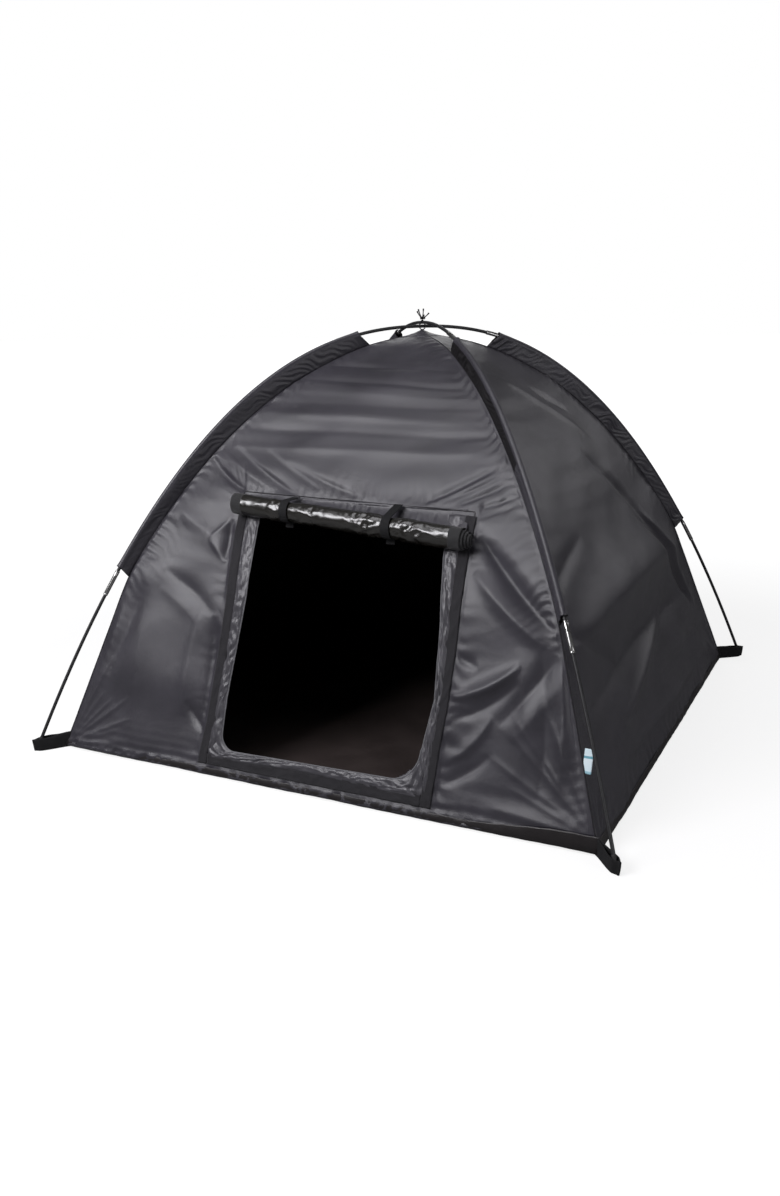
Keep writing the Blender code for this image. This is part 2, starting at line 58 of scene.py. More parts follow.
CORNERS = {"front_left": (-1, -1), "front_right": (1, -1), "back_right": (1, 1), "back_left": (-1, 1)}
WALLS = ("front_wall", "right_wall", "back_wall", "left_wall")

FLOOR_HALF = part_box("groundsheet")[1].x
RIM_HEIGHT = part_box("groundsheet")[1].z
CROWN_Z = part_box("crown_patch")[1].z


# ---------------- small numeric tools
def smooth(t):
    t = np.clip(t, 0.0, 1.0)
    return t * t * (3.0 - 2.0 * t)


def pair(a, b):
    """Two coordinates, spread to the same shape, as one array."""
    return np.stack(np.broadcast_arrays(a, b), -1)


def face_middles(values):
    """Values at a grid's points, taken to the middles of its faces."""
    return (values[:-1, :-1] + values[1:, 1:]) / 2


def run_length(path):
    """Distance along a path of points, from its start."""
    steps = np.linalg.norm(np.diff(path, axis=0), axis=1)
    return np.concatenate([[0.0], np.cumsum(steps)])


class Noise:
    """Seeded gradient noise in two dimensions, about -1 to 1."""

    def __init__(self, seed):
        rng = np.random.RandomState(seed)
        self.order = rng.permutation(256)
        angle = rng.uniform(0.0, 2.0 * math.pi, 256)
        self.gradient = np.stack([np.cos(angle), np.sin(angle)], -1)

    def corner(self, ix, iy, dx, dy):
        pick = self.order[(ix + self.order[iy & 255]) & 255]
        g = self.gradient[pick]
        return g[..., 0] * dx + g[..., 1] * dy

    def __call__(self, x, y):
        x, y = np.broadcast_arrays(np.asarray(x, float), np.asarray(y, float))
        ix, iy = np.floor(x).astype(int), np.floor(y).astype(int)
        fx, fy = x - ix, y - iy
        sx, sy = smooth(fx), smooth(fy)
        rows = []
        for k in (0, 1):
            left, right = self.corner(ix, iy + k, fx, fy - k), self.corner(ix + 1, iy + k, fx - 1, fy - k)
            rows.append(left * (1 - sx) + right * sx)
        return 1.5 * (rows[0] * (1 - sy) + rows[1] * sy)


def crumple(x, y, size, seed):
    """Sharp-edged wrinkles of a size in metres, 0 to about 1, with ridges between flat facets."""
    total = 0.0
    shares = (1.0, 0.5, 0.25)
    for k, share in enumerate(shares):
        scale = 2.0 ** k / size
        warp = Noise(seed + 50 + k)(x * scale * 0.6, y * scale * 0.6) * 0.5
        total = total + (1.0 - np.abs(Noise(seed + k)(x * scale + warp, y * scale - warp))) * share
    return total / sum(shares)


# ---------------- the arch and the walls' profile
def arch_table():
    radius = np.linspace(0.0, POLE_FOOT_R, 1200)
    height = POLE_FOOT_Z + POLE_RISE * (1.0 - (radius / POLE_FOOT_R) ** ARCH_POWER)
    return run_length(pair(radius, height)), radius, height


ARCH_S, ARCH_R, ARCH_Z = arch_table()
HALF_POLE = float(ARCH_S[-1])


def arch_points(s, lifted):
    """Signed radius and height at signed distances from the crown."""
    s = np.asarray(s, float)
    d = np.abs(s)
    radius, height = np.interp(d, ARCH_S, ARCH_R), np.interp(d, ARCH_S, ARCH_Z)
    along_r, along_z = arch_slope(np.full_like(d, HALF_POLE))
    past = np.maximum(0.0, d - HALF_POLE)
    radius, height = radius + past * along_r, height + past * along_z
    if lifted:
        near = np.clip(d / CROSSING_REACH, 0.0, 1.0)
        height = height + CROSSING_LIFT * 0.5 * (1.0 + np.cos(math.pi * near))
    return np.copysign(radius, s), height


def arch_slope(d):
    radius = np.interp(d, ARCH_S, ARCH_R)
    fall = -POLE_RISE * ARCH_POWER / POLE_FOOT_R * (radius / POLE_FOOT_R) ** (ARCH_POWER - 1.0)
    length = np.hypot(1.0, fall)
    return 1.0 / length, fall / length


def on_diagonal(radius, height, corner):
    sx, sy = corner
    return np.stack([sx * radius * ROOT_HALF, sy * radius * ROOT_HALF, height + 0 * radius], -1)


def pole_path(s, lifted, corner):
    """Points of a pole's middle line at distances from the crown; lifted for the upper pole."""
    return on_diagonal(*arch_points(s, lifted), corner)


def wall_profile():
    """Arc length from the floor, half width and height up the middle of a wall, read from the CAD."""
    points = {(0.0, FLOOR_HALF), (CROWN_Z, 0.0)}
    for vert in NODES["back_wall"].data.vertices:
        points.add((round(vert.co.z, 5), round(vert.co.y, 5)))
    hull = []
    for z, y in sorted(points):
        while len(hull) > 1:
            (z0, y0), (z1, y1) = hull[-2], hull[-1]
            if (z1 - z0) * (y - y0) - (y1 - y0) * (z - z0) >= 0:
                hull.pop()
            else:
                break
        hull.append((z, y))
    z, half = np.array(hull).T
    t = run_length(pair(z, half))
    fine = np.linspace(0.0, t[-1], 401)
    kernel = np.exp(-0.5 * (np.arange(-30, 31) * (fine[1] / 0.022)) ** 2)
    kernel /= kernel.sum()

    def soften(values):
        row = np.interp(fine, t, values)
        ends = np.concatenate([2 * row[0] - row[30:0:-1], row, 2 * row[-1] - row[-2:-32:-1]])
        return np.convolve(ends, kernel, "valid")

    return fine, soften(half), soften(z)


WALL_T, WALL_HALF, WALL_Z = wall_profile()
WALL_TOP = float(WALL_T[-1])


def wall_t(z):
    return np.interp(z, WALL_Z, WALL_T)


def wall_z(t):
    return np.interp(t, WALL_T, WALL_Z)


def wall_half(t):
    """Half the width of a wall at arc lengths from the floor."""
    return np.interp(t, WALL_T, WALL_HALF)


def wall_frame(t):
    """Half width, height and the outward normal (out, up) of a wall at arc lengths from the floor."""
    step = 0.004
    d_half, d_z = wall_half(t + step) - wall_half(t - step), wall_z(t + step) - wall_z(t - step)
    length = np.hypot(d_half, d_z)
    return wall_half(t), wall_z(t), d_z / length, -d_half / length


def wall_points(x, t, lift, side):
    """Points of a wall at places across and up it, lifted off it, turned to its side of the tent."""
    half, z, out, up = wall_frame(t)
    y = -(half + lift * out)
    z = z + lift * up
    turn = math.pi / 2 * side
    c, s = math.cos(turn), math.sin(turn)
    return np.stack([c * x - s * y, s * x + c * y, z], -1)


# ---------------- mesh tools
def add_object(name, data):
    obj = bpy.data.objects.new(name, data)
    bpy.context.scene.collection.objects.link(obj)
    return obj


def add_mesh(name, verts, faces, materials, cloth):
    """A smooth mesh whose points know their place on the flat cloth, for the materials."""
    mesh = bpy.data.meshes.new(name)
    mesh.from_pydata([tuple(v) for v in np.asarray(verts, float)], [], faces)
    flat = np.zeros((len(verts), 3), np.float32)
    flat[:, :2] = cloth
    mesh.attributes.new("cloth", "FLOAT_VECTOR", "POINT").data.foreach_set("vector", flat.ravel())
    mesh.shade_smooth()
    mesh.update()
    for material in materials:
        mesh.materials.append(material)
    return add_object(name, mesh)


def grid_faces(rows, columns, closed=False, keep=None):
    """Faces between the points of a grid; closed joins its last column to its first."""
    faces = []
    for i in range(rows - 1):
        for j in range(columns if closed else columns - 1):
            if keep is None or keep[i, j]:
                a, b = i * columns + j, i * columns + (j + 1) % columns
                faces.append((a, b, b + columns, a + columns))
    return faces


def capped_tube(name, points, material, cloth, flip=False):
    """A closed mesh from rings of points along a path, capped at both ends."""
    rows, columns = points.shape[:2]
    ring = tuple(range(columns))
    last = (rows - 1) * columns
    faces = grid_faces(rows, columns, closed=True) + [ring[::-1], tuple(last + k for k in ring)]
    if flip:
        faces = [face[::-1] for face in faces]
    return add_mesh(name, points.reshape(-1, 3), faces, [material], cloth.reshape(-1, 2))


def sheet_mesh(name, points, cloth, materials, keep=None, flip=False, thickness=0.0004, lining=0):
    """A cloth from a grid of points, with a real thickness that lies inside its outer face.

    lining is how far down the list of materials its inner face's material is."""
    faces = grid_faces(*points.shape[:2], keep=keep)
    if flip:
        faces = [face[::-1] for face in faces]
    obj = add_mesh(name, points.reshape(-1, 3), faces, materials, cloth.reshape(-1, 2))
    remove_loose(obj)
    solid = obj.modifiers.new("thickness", "SOLIDIFY")
    solid.thickness, solid.offset, solid.material_offset = thickness, -1.0, lining
    return obj


def remove_loose(obj):
    bm = bmesh.new()
    bm.from_mesh(obj.data)
    loose = [v for v in bm.verts if not v.link_faces]
    bmesh.ops.delete(bm, geom=loose, context="VERTS")
    bm.to_mesh(obj.data)
    bm.free()


def unit(vectors):
    return vectors / np.linalg.norm(vectors, axis=-1, keepdims=True)


def normals_along(path):
    """Two normals along a path, turning as little as they can."""
    tangent = unit(np.gradient(path, axis=0))
    start = np.cross(tangent[0], [0.0, 0.0, 1.0])
    if np.linalg.norm(start) < 1e-3:
        start = np.cross(tangent[0], [1.0, 0.0, 0.0])
    normal = [unit(start)]
    for step in tangent[1:]:
        normal.append(unit(normal[-1] - step * (normal[-1] @ step)))
    normal = np.array(normal)
    return normal, np.cross(tangent, normal)


TUBE_END = ((0.55, 0.98), (0.95, 0.72), (1.0, 0.35))     # a domed end: how far out, how wide


def tube(name, path, radii, material, sides=16, rounded=True):
    """A closed round tube along a path, its ends domed or flat."""
    path = np.asarray(path, float)
    radii = np.broadcast_to(radii, len(path)).astype(float)
    if rounded:
        head, tail = unit(path[0] - path[1]), unit(path[-1] - path[-2])
        r0, r1 = radii[0], radii[-1]
        first = [path[0] + head * r0 * 0.5 * out for out, _ in reversed(TUBE_END)]
        last = [path[-1] + tail * r1 * 0.5 * out for out, _ in TUBE_END]
        path = np.concatenate([first, path, last])
        radii = np.concatenate([[r0 * wide for _, wide in reversed(TUBE_END)], radii,
                                [r1 * wide for _, wide in TUBE_END]])
    n, b = normals_along(path)
    angle = np.linspace(0.0, 2 * math.pi, sides, endpoint=False)
    ring = n[:, None] * np.cos(angle)[None, :, None] + b[:, None] * np.sin(angle)[None, :, None]
    points = path[:, None] + ring * radii[:, None, None]
    cloth = pair(run_length(path)[:, None], (angle * radii.mean())[None, :])
    return capped_tube(name, points, material, cloth, flip=True)


def strap(name, path, across, width, thickness, material):
    """Flat webbing along a path: its cross-section is a slim rounded rectangle."""
    rounding = 0.0004
    across = np.broadcast_to(across, path.shape)
    normal = unit(np.cross(unit(np.gradient(path, axis=0)), across))
    h, w = thickness / 2, width / 2
    top = [(c * (w - rounding), h) for c in np.linspace(-1.0, 1.0, 13)]
    section = np.array(top + [(w, 0.0)] + [(c, -d) for c, d in reversed(top)] + [(-w, 0.0)])
    points = path[:, None] + across[:, None] * section[None, :, :1] + normal[:, None] * section[None, :, 1:]
    return capped_tube(name, points, material, pair(section[None, :, 0], run_length(path)[:, None]))


# ---------------- materials
def new_material(name, **values):
    """A material, its tree and its shader, with the values that are the same all over it."""
    material = bpy.data.materials.new(name)
    material.use_nodes = True
    shader = material.node_tree.nodes["Principled BSDF"]
    feed_all(material.node_tree, shader, **values)
    return material, material.node_tree, shader


def feed(tree, socket, value):
    """Link a socket to another, or give it a value."""
    if isinstance(value, bpy.types.NodeSocket):
        tree.links.new(value, socket)
    else:
        socket.default_value = value


def feed_all(tree, made, **values):
    """Feed several inputs of a node, each named with underscores for its spaces."""
    for key, value in values.items():
        feed(tree, made.inputs[key.replace("_", " ")], value)


def node(tree, kind, inputs=(), **settings):
    made = tree.nodes.new(kind)
    for key, value in settings.items():
        setattr(made, key, value)
    for key, value in dict(inputs).items():
        feed(tree, made.inputs[key], value)
    return made


def cloth_place(tree):
    return node(tree, "ShaderNodeAttribute", attribute_name="cloth").outputs["Vector"]


def noise(tree, place, scale, detail=2.0, roughness=0.5):
    return node(tree, "ShaderNodeTexNoise", {"Vector": place, "Scale": scale, "Detail": detail,
                "Roughness": roughness}).outputs["Fac"]


def bands(tree, place, axis, scale, distortion, **more):
    made = node(tree, "ShaderNodeTexWave", bands_direction=axis)
    feed_all(tree, made, Vector=place, Scale=scale, Distortion=distortion, **more)
    return made.outputs["Fac"]


def spread_to(tree, value, low, high, first, last):
    """A value's range low..high taken to first..last."""
    return node(tree, "ShaderNodeMapRange", {"Value": value, "From Min": low, "From Max": high,
                "To Min": first, "To Max": last}).outputs["Result"]


def ramp(tree, value, stops):
    made = node(tree, "ShaderNodeValToRGB", {"Fac": value})
    elements = made.color_ramp.elements
    while len(elements) < len(stops):
        elements.new(0.5)
    for element, (place, colour) in zip(elements, stops):
        element.position, element.color = place, (*colour, 1.0)
    return made.outputs["Color"]


def shades(tree, value, colour, low, dark, high, light):
    """A colour from dark times itself, where the value is low, to light times itself, where it is high."""
    tints = [tuple(min(1.0, c * share) for c in colour) for share in (dark, light)]
    return ramp(tree, value, ((low, tints[0]), (high, tints[1])))


def math_node(tree, operation, a, b):
    return node(tree, "ShaderNodeMath", {0: a, 1: b}, operation=operation).outputs[0]


def multiplied(tree, a, b):
    made = node(tree, "ShaderNodeMix", {"A": a, "B": b}, data_type="RGBA", blend_type="MULTIPLY")
    made.inputs["Factor"].default_value = 1.0
    return made.outputs["Result"]


def bumped(tree, height, strength, distance, **before):
    return node(tree, "ShaderNodeBump", {"Height": height, "Strength": strength, "Distance": distance,
                **before}).outputs["Normal"]


def fabric_material(name, colour, roughness, thread, bump, sheen=0.25, coat=0.0, spread=0.18, crease=0.0,
                    specular=0.5, cells=34.0):
    """Woven cloth: two sets of threads, a slow change of shade, fine creases and a soft sheen."""
    material, tree, shader = new_material(
        name, Specular_IOR_Level=specular, Sheen_Weight=sheen, Sheen_Roughness=0.45, Coat_Weight=coat,
        Coat_Roughness=0.25)
    place = cloth_place(tree)
    threads = (bands(tree, place, axis, 0.5 / thread, 0.6, Detail=1.0, Detail_Scale=1.5) for axis in "XY")
    weave = math_node(tree, "MULTIPLY", *threads)
    slow = noise(tree, place, 9.0, 4.0, 0.6)
    fine = noise(tree, place, 130.0, 3.0, 0.6)
    base = shades(tree, slow, colour, 0.3, 1.0 - spread, 0.7, 1.0 + spread)
    speckle = shades(tree, weave, (1.0,) * 3, 0.0, 0.86, 1.0, 1.0)
    gloss = spread_to(tree, slow, 0.25, 0.75, roughness - 0.05, roughness + 0.07)
    normal = bumped(tree, weave, bump, 0.0002)
    if crease:
        folded = node(tree, "ShaderNodeTexVoronoi", {"Vector": place, "Scale": cells, "Detail": 2.0},
                      feature="DISTANCE_TO_EDGE").outputs["Distance"]
        both = math_node(tree, "ADD", spread_to(tree, folded, 0.0, 0.35, 0.0, 1.0), fine)
        normal = bumped(tree, both, crease, 0.0012, Normal=normal)
    else:
        normal = bumped(tree, fine, 0.12, 0.001, Normal=normal)
    feed_all(tree, shader, Base_Color=multiplied(tree, base, speckle), Roughness=gloss, Normal=normal)
    return material


def webbing_material(name, colour, rib):
    """Ribbed webbing: bars across the strap, threads along it."""
    material, tree, shader = new_material(name, Roughness=0.75, Specular_IOR_Level=0.25)
    place = cloth_place(tree)
    bars, threads = bands(tree, place, "Y", 0.5 / rib, 0.4), bands(tree, place, "X", 1.1 / rib, 0.8)
    weave = math_node(tree, "MULTIPLY", bars, threads)
    slow = math_node(tree, "ADD", noise(tree, place, 25.0, 4.0), 0.3)
    shade = math_node(tree, "MULTIPLY", math_node(tree, "ADD", weave, 0.5), slow)
    feed_all(tree, shader, Base_Color=shades(tree, shade, colour, 0.2, 0.55, 1.0, 1.5),
             Normal=bumped(tree, weave, 0.9, 0.0004))
    return material


def solid_material(name, colour, roughness, metallic=0.0, grain=0.0):
    """Moulded, drawn or metal pieces: faint streaks and a little wear in the gloss."""
    material, tree, shader = new_material(name, Metallic=metallic)
    place = node(tree, "ShaderNodeTexCoord").outputs["Object"]
    streak, worn = noise(tree, place, 160.0, 4.0), noise(tree, place, 35.0, 5.0)
    feed_all(tree, shader, Base_Color=shades(tree, streak, colour, 0.3, 0.8, 0.7, 1.15),
             Roughness=spread_to(tree, worn, 0.3, 0.7, roughness - 0.08, roughness + 0.1))
    if grain:
        feed_all(tree, shader, Normal=bumped(tree, streak, grain, 0.0003))
    return material


SHELL = fabric_material("shell_taffeta", (0.030, 0.028, 0.036), 0.40, 0.0007, 0.30, sheen=0.05,
                        specular=0.55, crease=0.16, cells=16.0)
LINING = fabric_material("shell_lining", (0.030, 0.028, 0.027), 0.60, 0.0007, 0.3, sheen=0.0, specular=0.2)
# painted highlight: the facing is shell cloth given a lighter colour than SHELL for the light its crinkles
# catch; the crinkles themselves are real relief
FACING_PAINTED_LIGHT = fabric_material("door_facing_painted_highlight", (0.058, 0.056, 0.064), 0.31, 0.0007, 0.3, sheen=0.05, crease=0.35)
COATED = fabric_material("coated_door", (0.014, 0.013, 0.011), 0.24, 0.0009, 0.10, sheen=0.0, coat=0.5,
                         crease=0.30)
# painted shade: a near-black cloth laid on the front right sleeve's left side for the shadow under its pole
# tube
SLEEVE_SHADE = fabric_material("sleeve_painted_shade", (0.010, 0.009, 0.010), 0.60, 0.0009, 0.6, sheen=0.0,
                         specular=0.25, crease=0.5)
RIM = fabric_material("floor_edge", (0.013, 0.0105, 0.011), 0.38, 0.0009, 0.3, sheen=0.0, crease=0.25)
FLOOR = fabric_material("floor_sheet", (0.040, 0.031, 0.029), 0.42, 0.0009, 0.3, sheen=0.0, crease=0.15)
WEBBING = webbing_material("webbing", (0.012, 0.012, 0.013), 0.0016)
BINDING = webbing_material("binding_tape", (0.022, 0.021, 0.024), 0.0012)
HOOK = fabric_material("hook_tape", (0.020, 0.019, 0.022), 0.80, 0.0011, 1.0, sheen=0.08, spread=0.25,
                       specular=0.3)
DARK_TAPE = fabric_material("dark_tape", (0.014, 0.014, 0.015), 0.80, 0.0011, 1.0, sheen=0.15, spread=0.25)
PIPING = fabric_material("edge_piping", (0.13, 0.13, 0.14), 0.55, 0.0006, 0.5)
THREAD = solid_material("thread", (0.018, 0.017, 0.020), 0.6)
POLE = solid_material("glass_fibre_pole", (0.012, 0.012, 0.013), 0.50)
STEEL = solid_material("ferrule_steel", (0.40, 0.40, 0.39), 0.26, metallic=1.0, grain=0.06)
RUBBER = solid_material("tip_rubber", (0.014, 0.014, 0.014), 0.7, grain=0.3)
CORD = webbing_material("tie_cord", (0.024, 0.024, 0.025), 0.0011)

LABEL_WIDTH, LABEL_HEIGHT = 0.015, 0.044
LABEL_BORDER, LABEL_STRIPE = (0.30, 0.52, 0.60), (0.12, 0.34, 0.42)


def label_material():
    """A woven tag: white middle, pale blue border and a plain darker stripe."""
    material, tree, shader = new_material("label_satin", Roughness=0.5)
    split = node(tree, "ShaderNodeSeparateXYZ", {"Vector": cloth_place(tree)})
    colour = ramp(tree, spread_to(tree, split.outputs["Y"], 0.0, LABEL_HEIGHT, 0.0, 1.0), (
        (0.0, LABEL_BORDER), (0.10, LABEL_BORDER), (0.12, (0.62, 0.76, 0.82)), (0.60, (0.70, 0.80, 0.84)),
        (0.62, LABEL_STRIPE), (0.70, LABEL_STRIPE), (0.72, (0.66, 0.78, 0.83)), (1.0, (0.60, 0.75, 0.80))))
    weave = noise(tree, cloth_place(tree), 1400.0)
    shade = shades(tree, weave, (1.0,) * 3, 0.3, 0.85, 0.7, 1.0)
    feed_all(tree, shader, Base_Color=multiplied(tree, colour, shade),
             Normal=bumped(tree, weave, 0.4, 0.0002))
    return material


LABEL = label_material()


# ---------------- studio
CAMERA_PLACE, CAMERA_LENS = (1.0393, -2.2653, 0.9210), 31.94
CAMERA_AZIMUTH, CAMERA_ELEVATION, CAMERA_ROLL = 26.59, 14.87, -1.02


def make_camera():
    azimuth, elevation, roll = (math.radians(a) for a in (CAMERA_AZIMUTH, CAMERA_ELEVATION, CAMERA_ROLL))
    back = Vector((math.sin(azimuth) * math.cos(elevation), -math.cos(azimuth) * math.cos(elevation),
                   math.sin(elevation)))
    level = Vector((0.0, 0.0, 1.0)).cross(back).normalized()
    upright = back.cross(level)
    right = level * math.cos(roll) + upright * math.sin(roll)
    up = upright * math.cos(roll) - level * math.sin(roll)
    data = bpy.data.cameras.new("camera")
    data.lens, data.sensor_width, data.sensor_fit = CAMERA_LENS, 36.0, "AUTO"
    data.clip_start, data.clip_end = 0.02, 90.0
    camera = add_object("camera", data)
    axes = Matrix((right, up, back)).transposed()
    camera.matrix_world = Matrix.Translation(CAMERA_PLACE) @ axes.to_4x4()
    bpy.context.scene.camera = camera


COOL, WHITE = (0.975, 0.965, 1.0), (1.0, 1.0, 1.0)
LIGHTS = (           # name, place, target, size, power, colour
    ("key", (-1.5, -3.1, 2.55), (0.0, -0.2, 0.4), (2.0, 1.4), 140.0, COOL),
    ("top", (-0.2, -1.0, 3.4), (0.0, 0.0, 0.5), (1.8, 1.8), 33.0, COOL),
    ("side", (2.4, 2.9, 2.6), (0.3, 0.0, 0.5), (1.6, 1.6), 26.0, COOL),
    ("fill", (3.0, -1.5, 0.8), (-0.1, 0.0, 0.5), (1.0, 1.2), 20.0, COOL),
    ("back", (-1.4, 3.0, 2.2), (0.0, 0.0, 0.5), (1.6, 1.4), 14.0, WHITE),
)
WORLD_LIGHT = 0.06                    # what the white surroundings give, other than to the camera
FLOOR_GLOW = (1.2, 4.5, 0.80, 1.15)   # from a near to a far distance, for the camera only


def make_studio():
    world, scene = bpy.data.worlds.new("studio"), bpy.context.scene
    scene.world = world
    scene.view_settings.view_transform = "Standard"
    world.use_nodes = True
    tree = world.node_tree
    background = tree.nodes["Background"]
    background.inputs["Color"].default_value = (*WHITE, 1.0)
    seen = node(tree, "ShaderNodeLightPath").outputs["Is Camera Ray"]
    feed(tree, background.inputs["Strength"], spread_to(tree, seen, 0.0, 1.0, WORLD_LIGHT, 1.0))
    for name, place, target, size, power, colour in LIGHTS:
        data = bpy.data.lights.new(name, "AREA")
        data.shape, data.size, data.size_y = "RECTANGLE", *size
        data.energy, data.color = power, colour
        light = add_object(name, data)
        light.location, light.visible_camera = place, False
        light.rotation_euler = (Vector(target) - Vector(place)).to_track_quat("-Z", "Y").to_euler()
    bpy.ops.mesh.primitive_plane_add(size=80.0, location=(0.0, 0.0, 0.0))
    floor = bpy.context.object
    floor.name = "studio_floor"
    material, tree, shader = new_material(
        "studio_floor", Roughness=0.9, Specular_IOR_Level=0.0, Emission_Color=(*WHITE, 1.0))
    speck = node(tree, "ShaderNodeTexNoise", {"Scale": 3.0}).outputs["Fac"]
    feed(tree, shader.inputs["Base Color"], ramp(tree, speck, ((0.0, (0.23,) * 3), (1.0, (0.25,) * 3))))
    place = node(tree, "ShaderNodeTexCoord").outputs["Object"]
    away = node(tree, "ShaderNodeVectorMath", {0: place}, operation="LENGTH").outputs["Value"]
    seen = node(tree, "ShaderNodeLightPath").outputs["Is Camera Ray"]
    glow = math_node(tree, "MULTIPLY", spread_to(tree, away, *FLOOR_GLOW), seen)
    feed(tree, shader.inputs["Emission Strength"], glow)
    floor.data.materials.append(material)


# ---------------- the door's outlines on the front wall
def along(table, z):
    heights, places = zip(*table)
    return np.interp(z, heights, places)


OPENING_LEFT = ((0.05, -0.186), (0.09, -0.198), (0.16, -0.197), (0.26, -0.188), (0.36, -0.180),
                (0.49, -0.184), (0.56, -0.187))     # height, place across
OPENING_RIGHT = ((0.05, 0.225), (0.09, 0.239), (0.13, 0.253), (0.22, 0.267), (0.36, 0.261), (0.47, 0.246),
                 (0.56, 0.238))
TAPE_LEFT = ((0.02, -0.240), (0.06, -0.236), (0.11, -0.229), (0.23, -0.221), (0.35, -0.217), (0.49, -0.226),
             (0.56, -0.229))
TAPE_RIGHT = ((0.02, 0.272), (0.13, 0.277), (0.22, 0.285), (0.33, 0.288), (0.47, 0.285), (0.56, 0.286))
TAPE_BOTTOM_Z, TAPE_WIDTH = 0.0355, 0.0215
OPENING_TOP, OPENING_BOTTOM = 0.548, (0.058, 0.065)     # bottom edge: at its left and right ends
CORNER_LEFT, CORNER_RIGHT = 0.034, 0.058                # radii of the opening's bottom corners
SEAM_Z, SEAM_LEFT, SEAM_RIGHT = 0.560, -0.237, 0.290


def door_outline(left, right, low_left, low_right, r_left, r_right):
    """An outline on the front wall, from its top left down, along the bottom and up to its top right."""
    def corner(cx, cz, r, first, last, count):
        a = np.radians(np.linspace(first, last, count))
        return np.stack([cx + r * np.cos(a), cz + r * np.sin(a)], -1)

    z_left = np.linspace(OPENING_TOP, low_left + r_left, 90)
    z_right = np.linspace(low_right + r_right, OPENING_TOP, 86)
    side_left = np.stack([along(left, z_left), z_left], -1)
    side_right = np.stack([along(right, z_right), z_right], -1)
    c_left = corner(side_left[-1, 0] + r_left, z_left[-1], r_left, 180, 270, 18)[1:]
    c_right = corner(side_right[0, 0] - r_right, z_right[0], r_right, 270, 360, 24)[:-1]
    bottom = np.linspace(c_left[-1], c_right[0], 72)[1:-1]
    return np.concatenate([side_left, c_left, bottom, c_right, side_right])


OPENING_EDGE = door_outline(OPENING_LEFT, OPENING_RIGHT, *OPENING_BOTTOM, CORNER_LEFT, CORNER_RIGHT)
TAPE_LINE = door_outline(TAPE_LEFT, TAPE_RIGHT, TAPE_BOTTOM_Z, TAPE_BOTTOM_Z, 0.010, 0.010)


def inside_opening(x, z, grow):
    """True within the door's opening, grown a little."""
    low = np.interp(x, (-0.19, 0.24), OPENING_BOTTOM) - grow
    left, right = along(OPENING_LEFT, z) - grow, along(OPENING_RIGHT, z) + grow
    box = (x > left) & (x < right) & (z > low) & (z < OPENING_TOP + grow)
    for edge, sign, r in ((left, 1, CORNER_LEFT + grow), (right, -1, CORNER_RIGHT + grow)):
        cx, cz = edge + sign * r, low + r
        outside = ((x - cx) * sign < 0) & (z < cz) & (np.hypot(x - cx, z - cz) > r)
        box &= ~outside
    return box


# ---------------- wall relief
def crease(x, t, start, end, width, depth, skew, bow=0.0):
    """A fold from one place on a wall to another, fading at both ends. Places are (x, height)."""
    (x0, z0), (x1, z1) = start, end
    t0, t1 = wall_t(z0), wall_t(z1)
    dx, dt = x1 - x0, t1 - t0
    length = math.hypot(dx, dt)
    place = ((x - x0) * dx + (t - t0) * dt) / length ** 2
    inside = np.clip(place, 0.0, 1.0)
    off = ((x - x0) * -dt + (t - t0) * dx) / length - bow * 4.0 * inside * (1.0 - inside)
    taper = np.sin(inside * math.pi) ** 0.7
    bent = off / (width * (0.5 + 0.5 * taper))
    return depth * taper * np.exp(-np.abs(bent) ** 1.5) * (1.0 + skew * np.clip(bent, -1.5, 1.5))


def fan(x, t, centre, count, first, last, reach, width, depth, seed):
    """Short folds that spread from a place where the cloth is gathered."""
    rng = np.random.RandomState(seed)
    total = 0.0
    for k in range(count):
        angle = math.radians(first + (last - first) * (k + rng.uniform(-0.3, 0.3)) / max(1, count - 1))
        size = reach * rng.uniform(0.6, 1.1)
        start, end = ((centre[0] + far * math.cos(angle), max(0.004, centre[1] + far * math.sin(angle)))
                      for far in (0.06 * size, size))
        wide, deep = width * rng.uniform(0.7, 1.3), depth * rng.uniform(0.6, 1.2)
        total = total + crease(x, t, start, end, wide, deep, 0.3)
    return total


def puckers(distance, place, wavelength, height, reach, seed):
    """Ripples across a seam, dying away from it."""
    phase = place * 2 * math.pi / wavelength + Noise(seed)(place * 14.0, distance * 18.0) * 5.0
    strength = 0.55 + 0.6 * Noise(seed + 1)(place * 17.0, 0.5 + 0.0 * distance)
    return height * np.sin(phase) * np.clip(strength, 0.0, 1.2) * np.exp(-np.abs(distance) / reach)


def ridge_fade(x, t):
    """0 on the ridges and the floor seam, 1 away from them."""
    reach = 0.010
    half = wall_half(t)
    return smooth((half - np.abs(x)) / reach) * smooth(t / reach)


def plain_relief(x, t, seed, loose=1.0):
    """Soft tension waves of a wall, with puckers along its two ridges and the floor."""
    half = wall_half(t)
    edge = half - np.abs(x)
    calm = smooth((WALL_TOP - t) / 0.25)
    soft = Noise(seed)(x * 3.0 + 7.0, t * 4.2 + seed) * 0.0060
    sag = t - 0.25 * x * x                          # level folds that hang a little in the middle
    high = smooth((t - 0.35) / 0.30)
    level = Noise(seed + 1)(x * 1.8, sag * 13.0) * 0.0034 + Noise(seed + 7)(x * 3.2, sag * 34.0) * 0.0016
    level = level * high
    slanted = Noise(seed + 2)((x + t * 0.7) * 5.0, (t - x * 0.5) * 10.0) * 0.0040
    side = np.where(x < 0, 0.0, 31.0)
    sewn = 0.3 + 0.7 * smooth((t - 0.33) / 0.05)     # gathered along the sleeves, plain below them
    ridge = puckers(edge, t + side + 0.5 * edge, 0.021, 0.0024, 0.030, seed + 3) * sewn
    hem = puckers(t, x, 0.043, 0.0015, 0.030, seed + 5)
    turned = np.sin(t * 2 * math.pi / 0.017 + Noise(seed + 6)(x * 7.0, t * 0.0) * 2.0)
    roll = 0.0020 * turned * np.exp(-t / 0.022)
    return ((soft + slanted + level) * calm * loose + ridge + hem + roll) * ridge_fade(x, t)


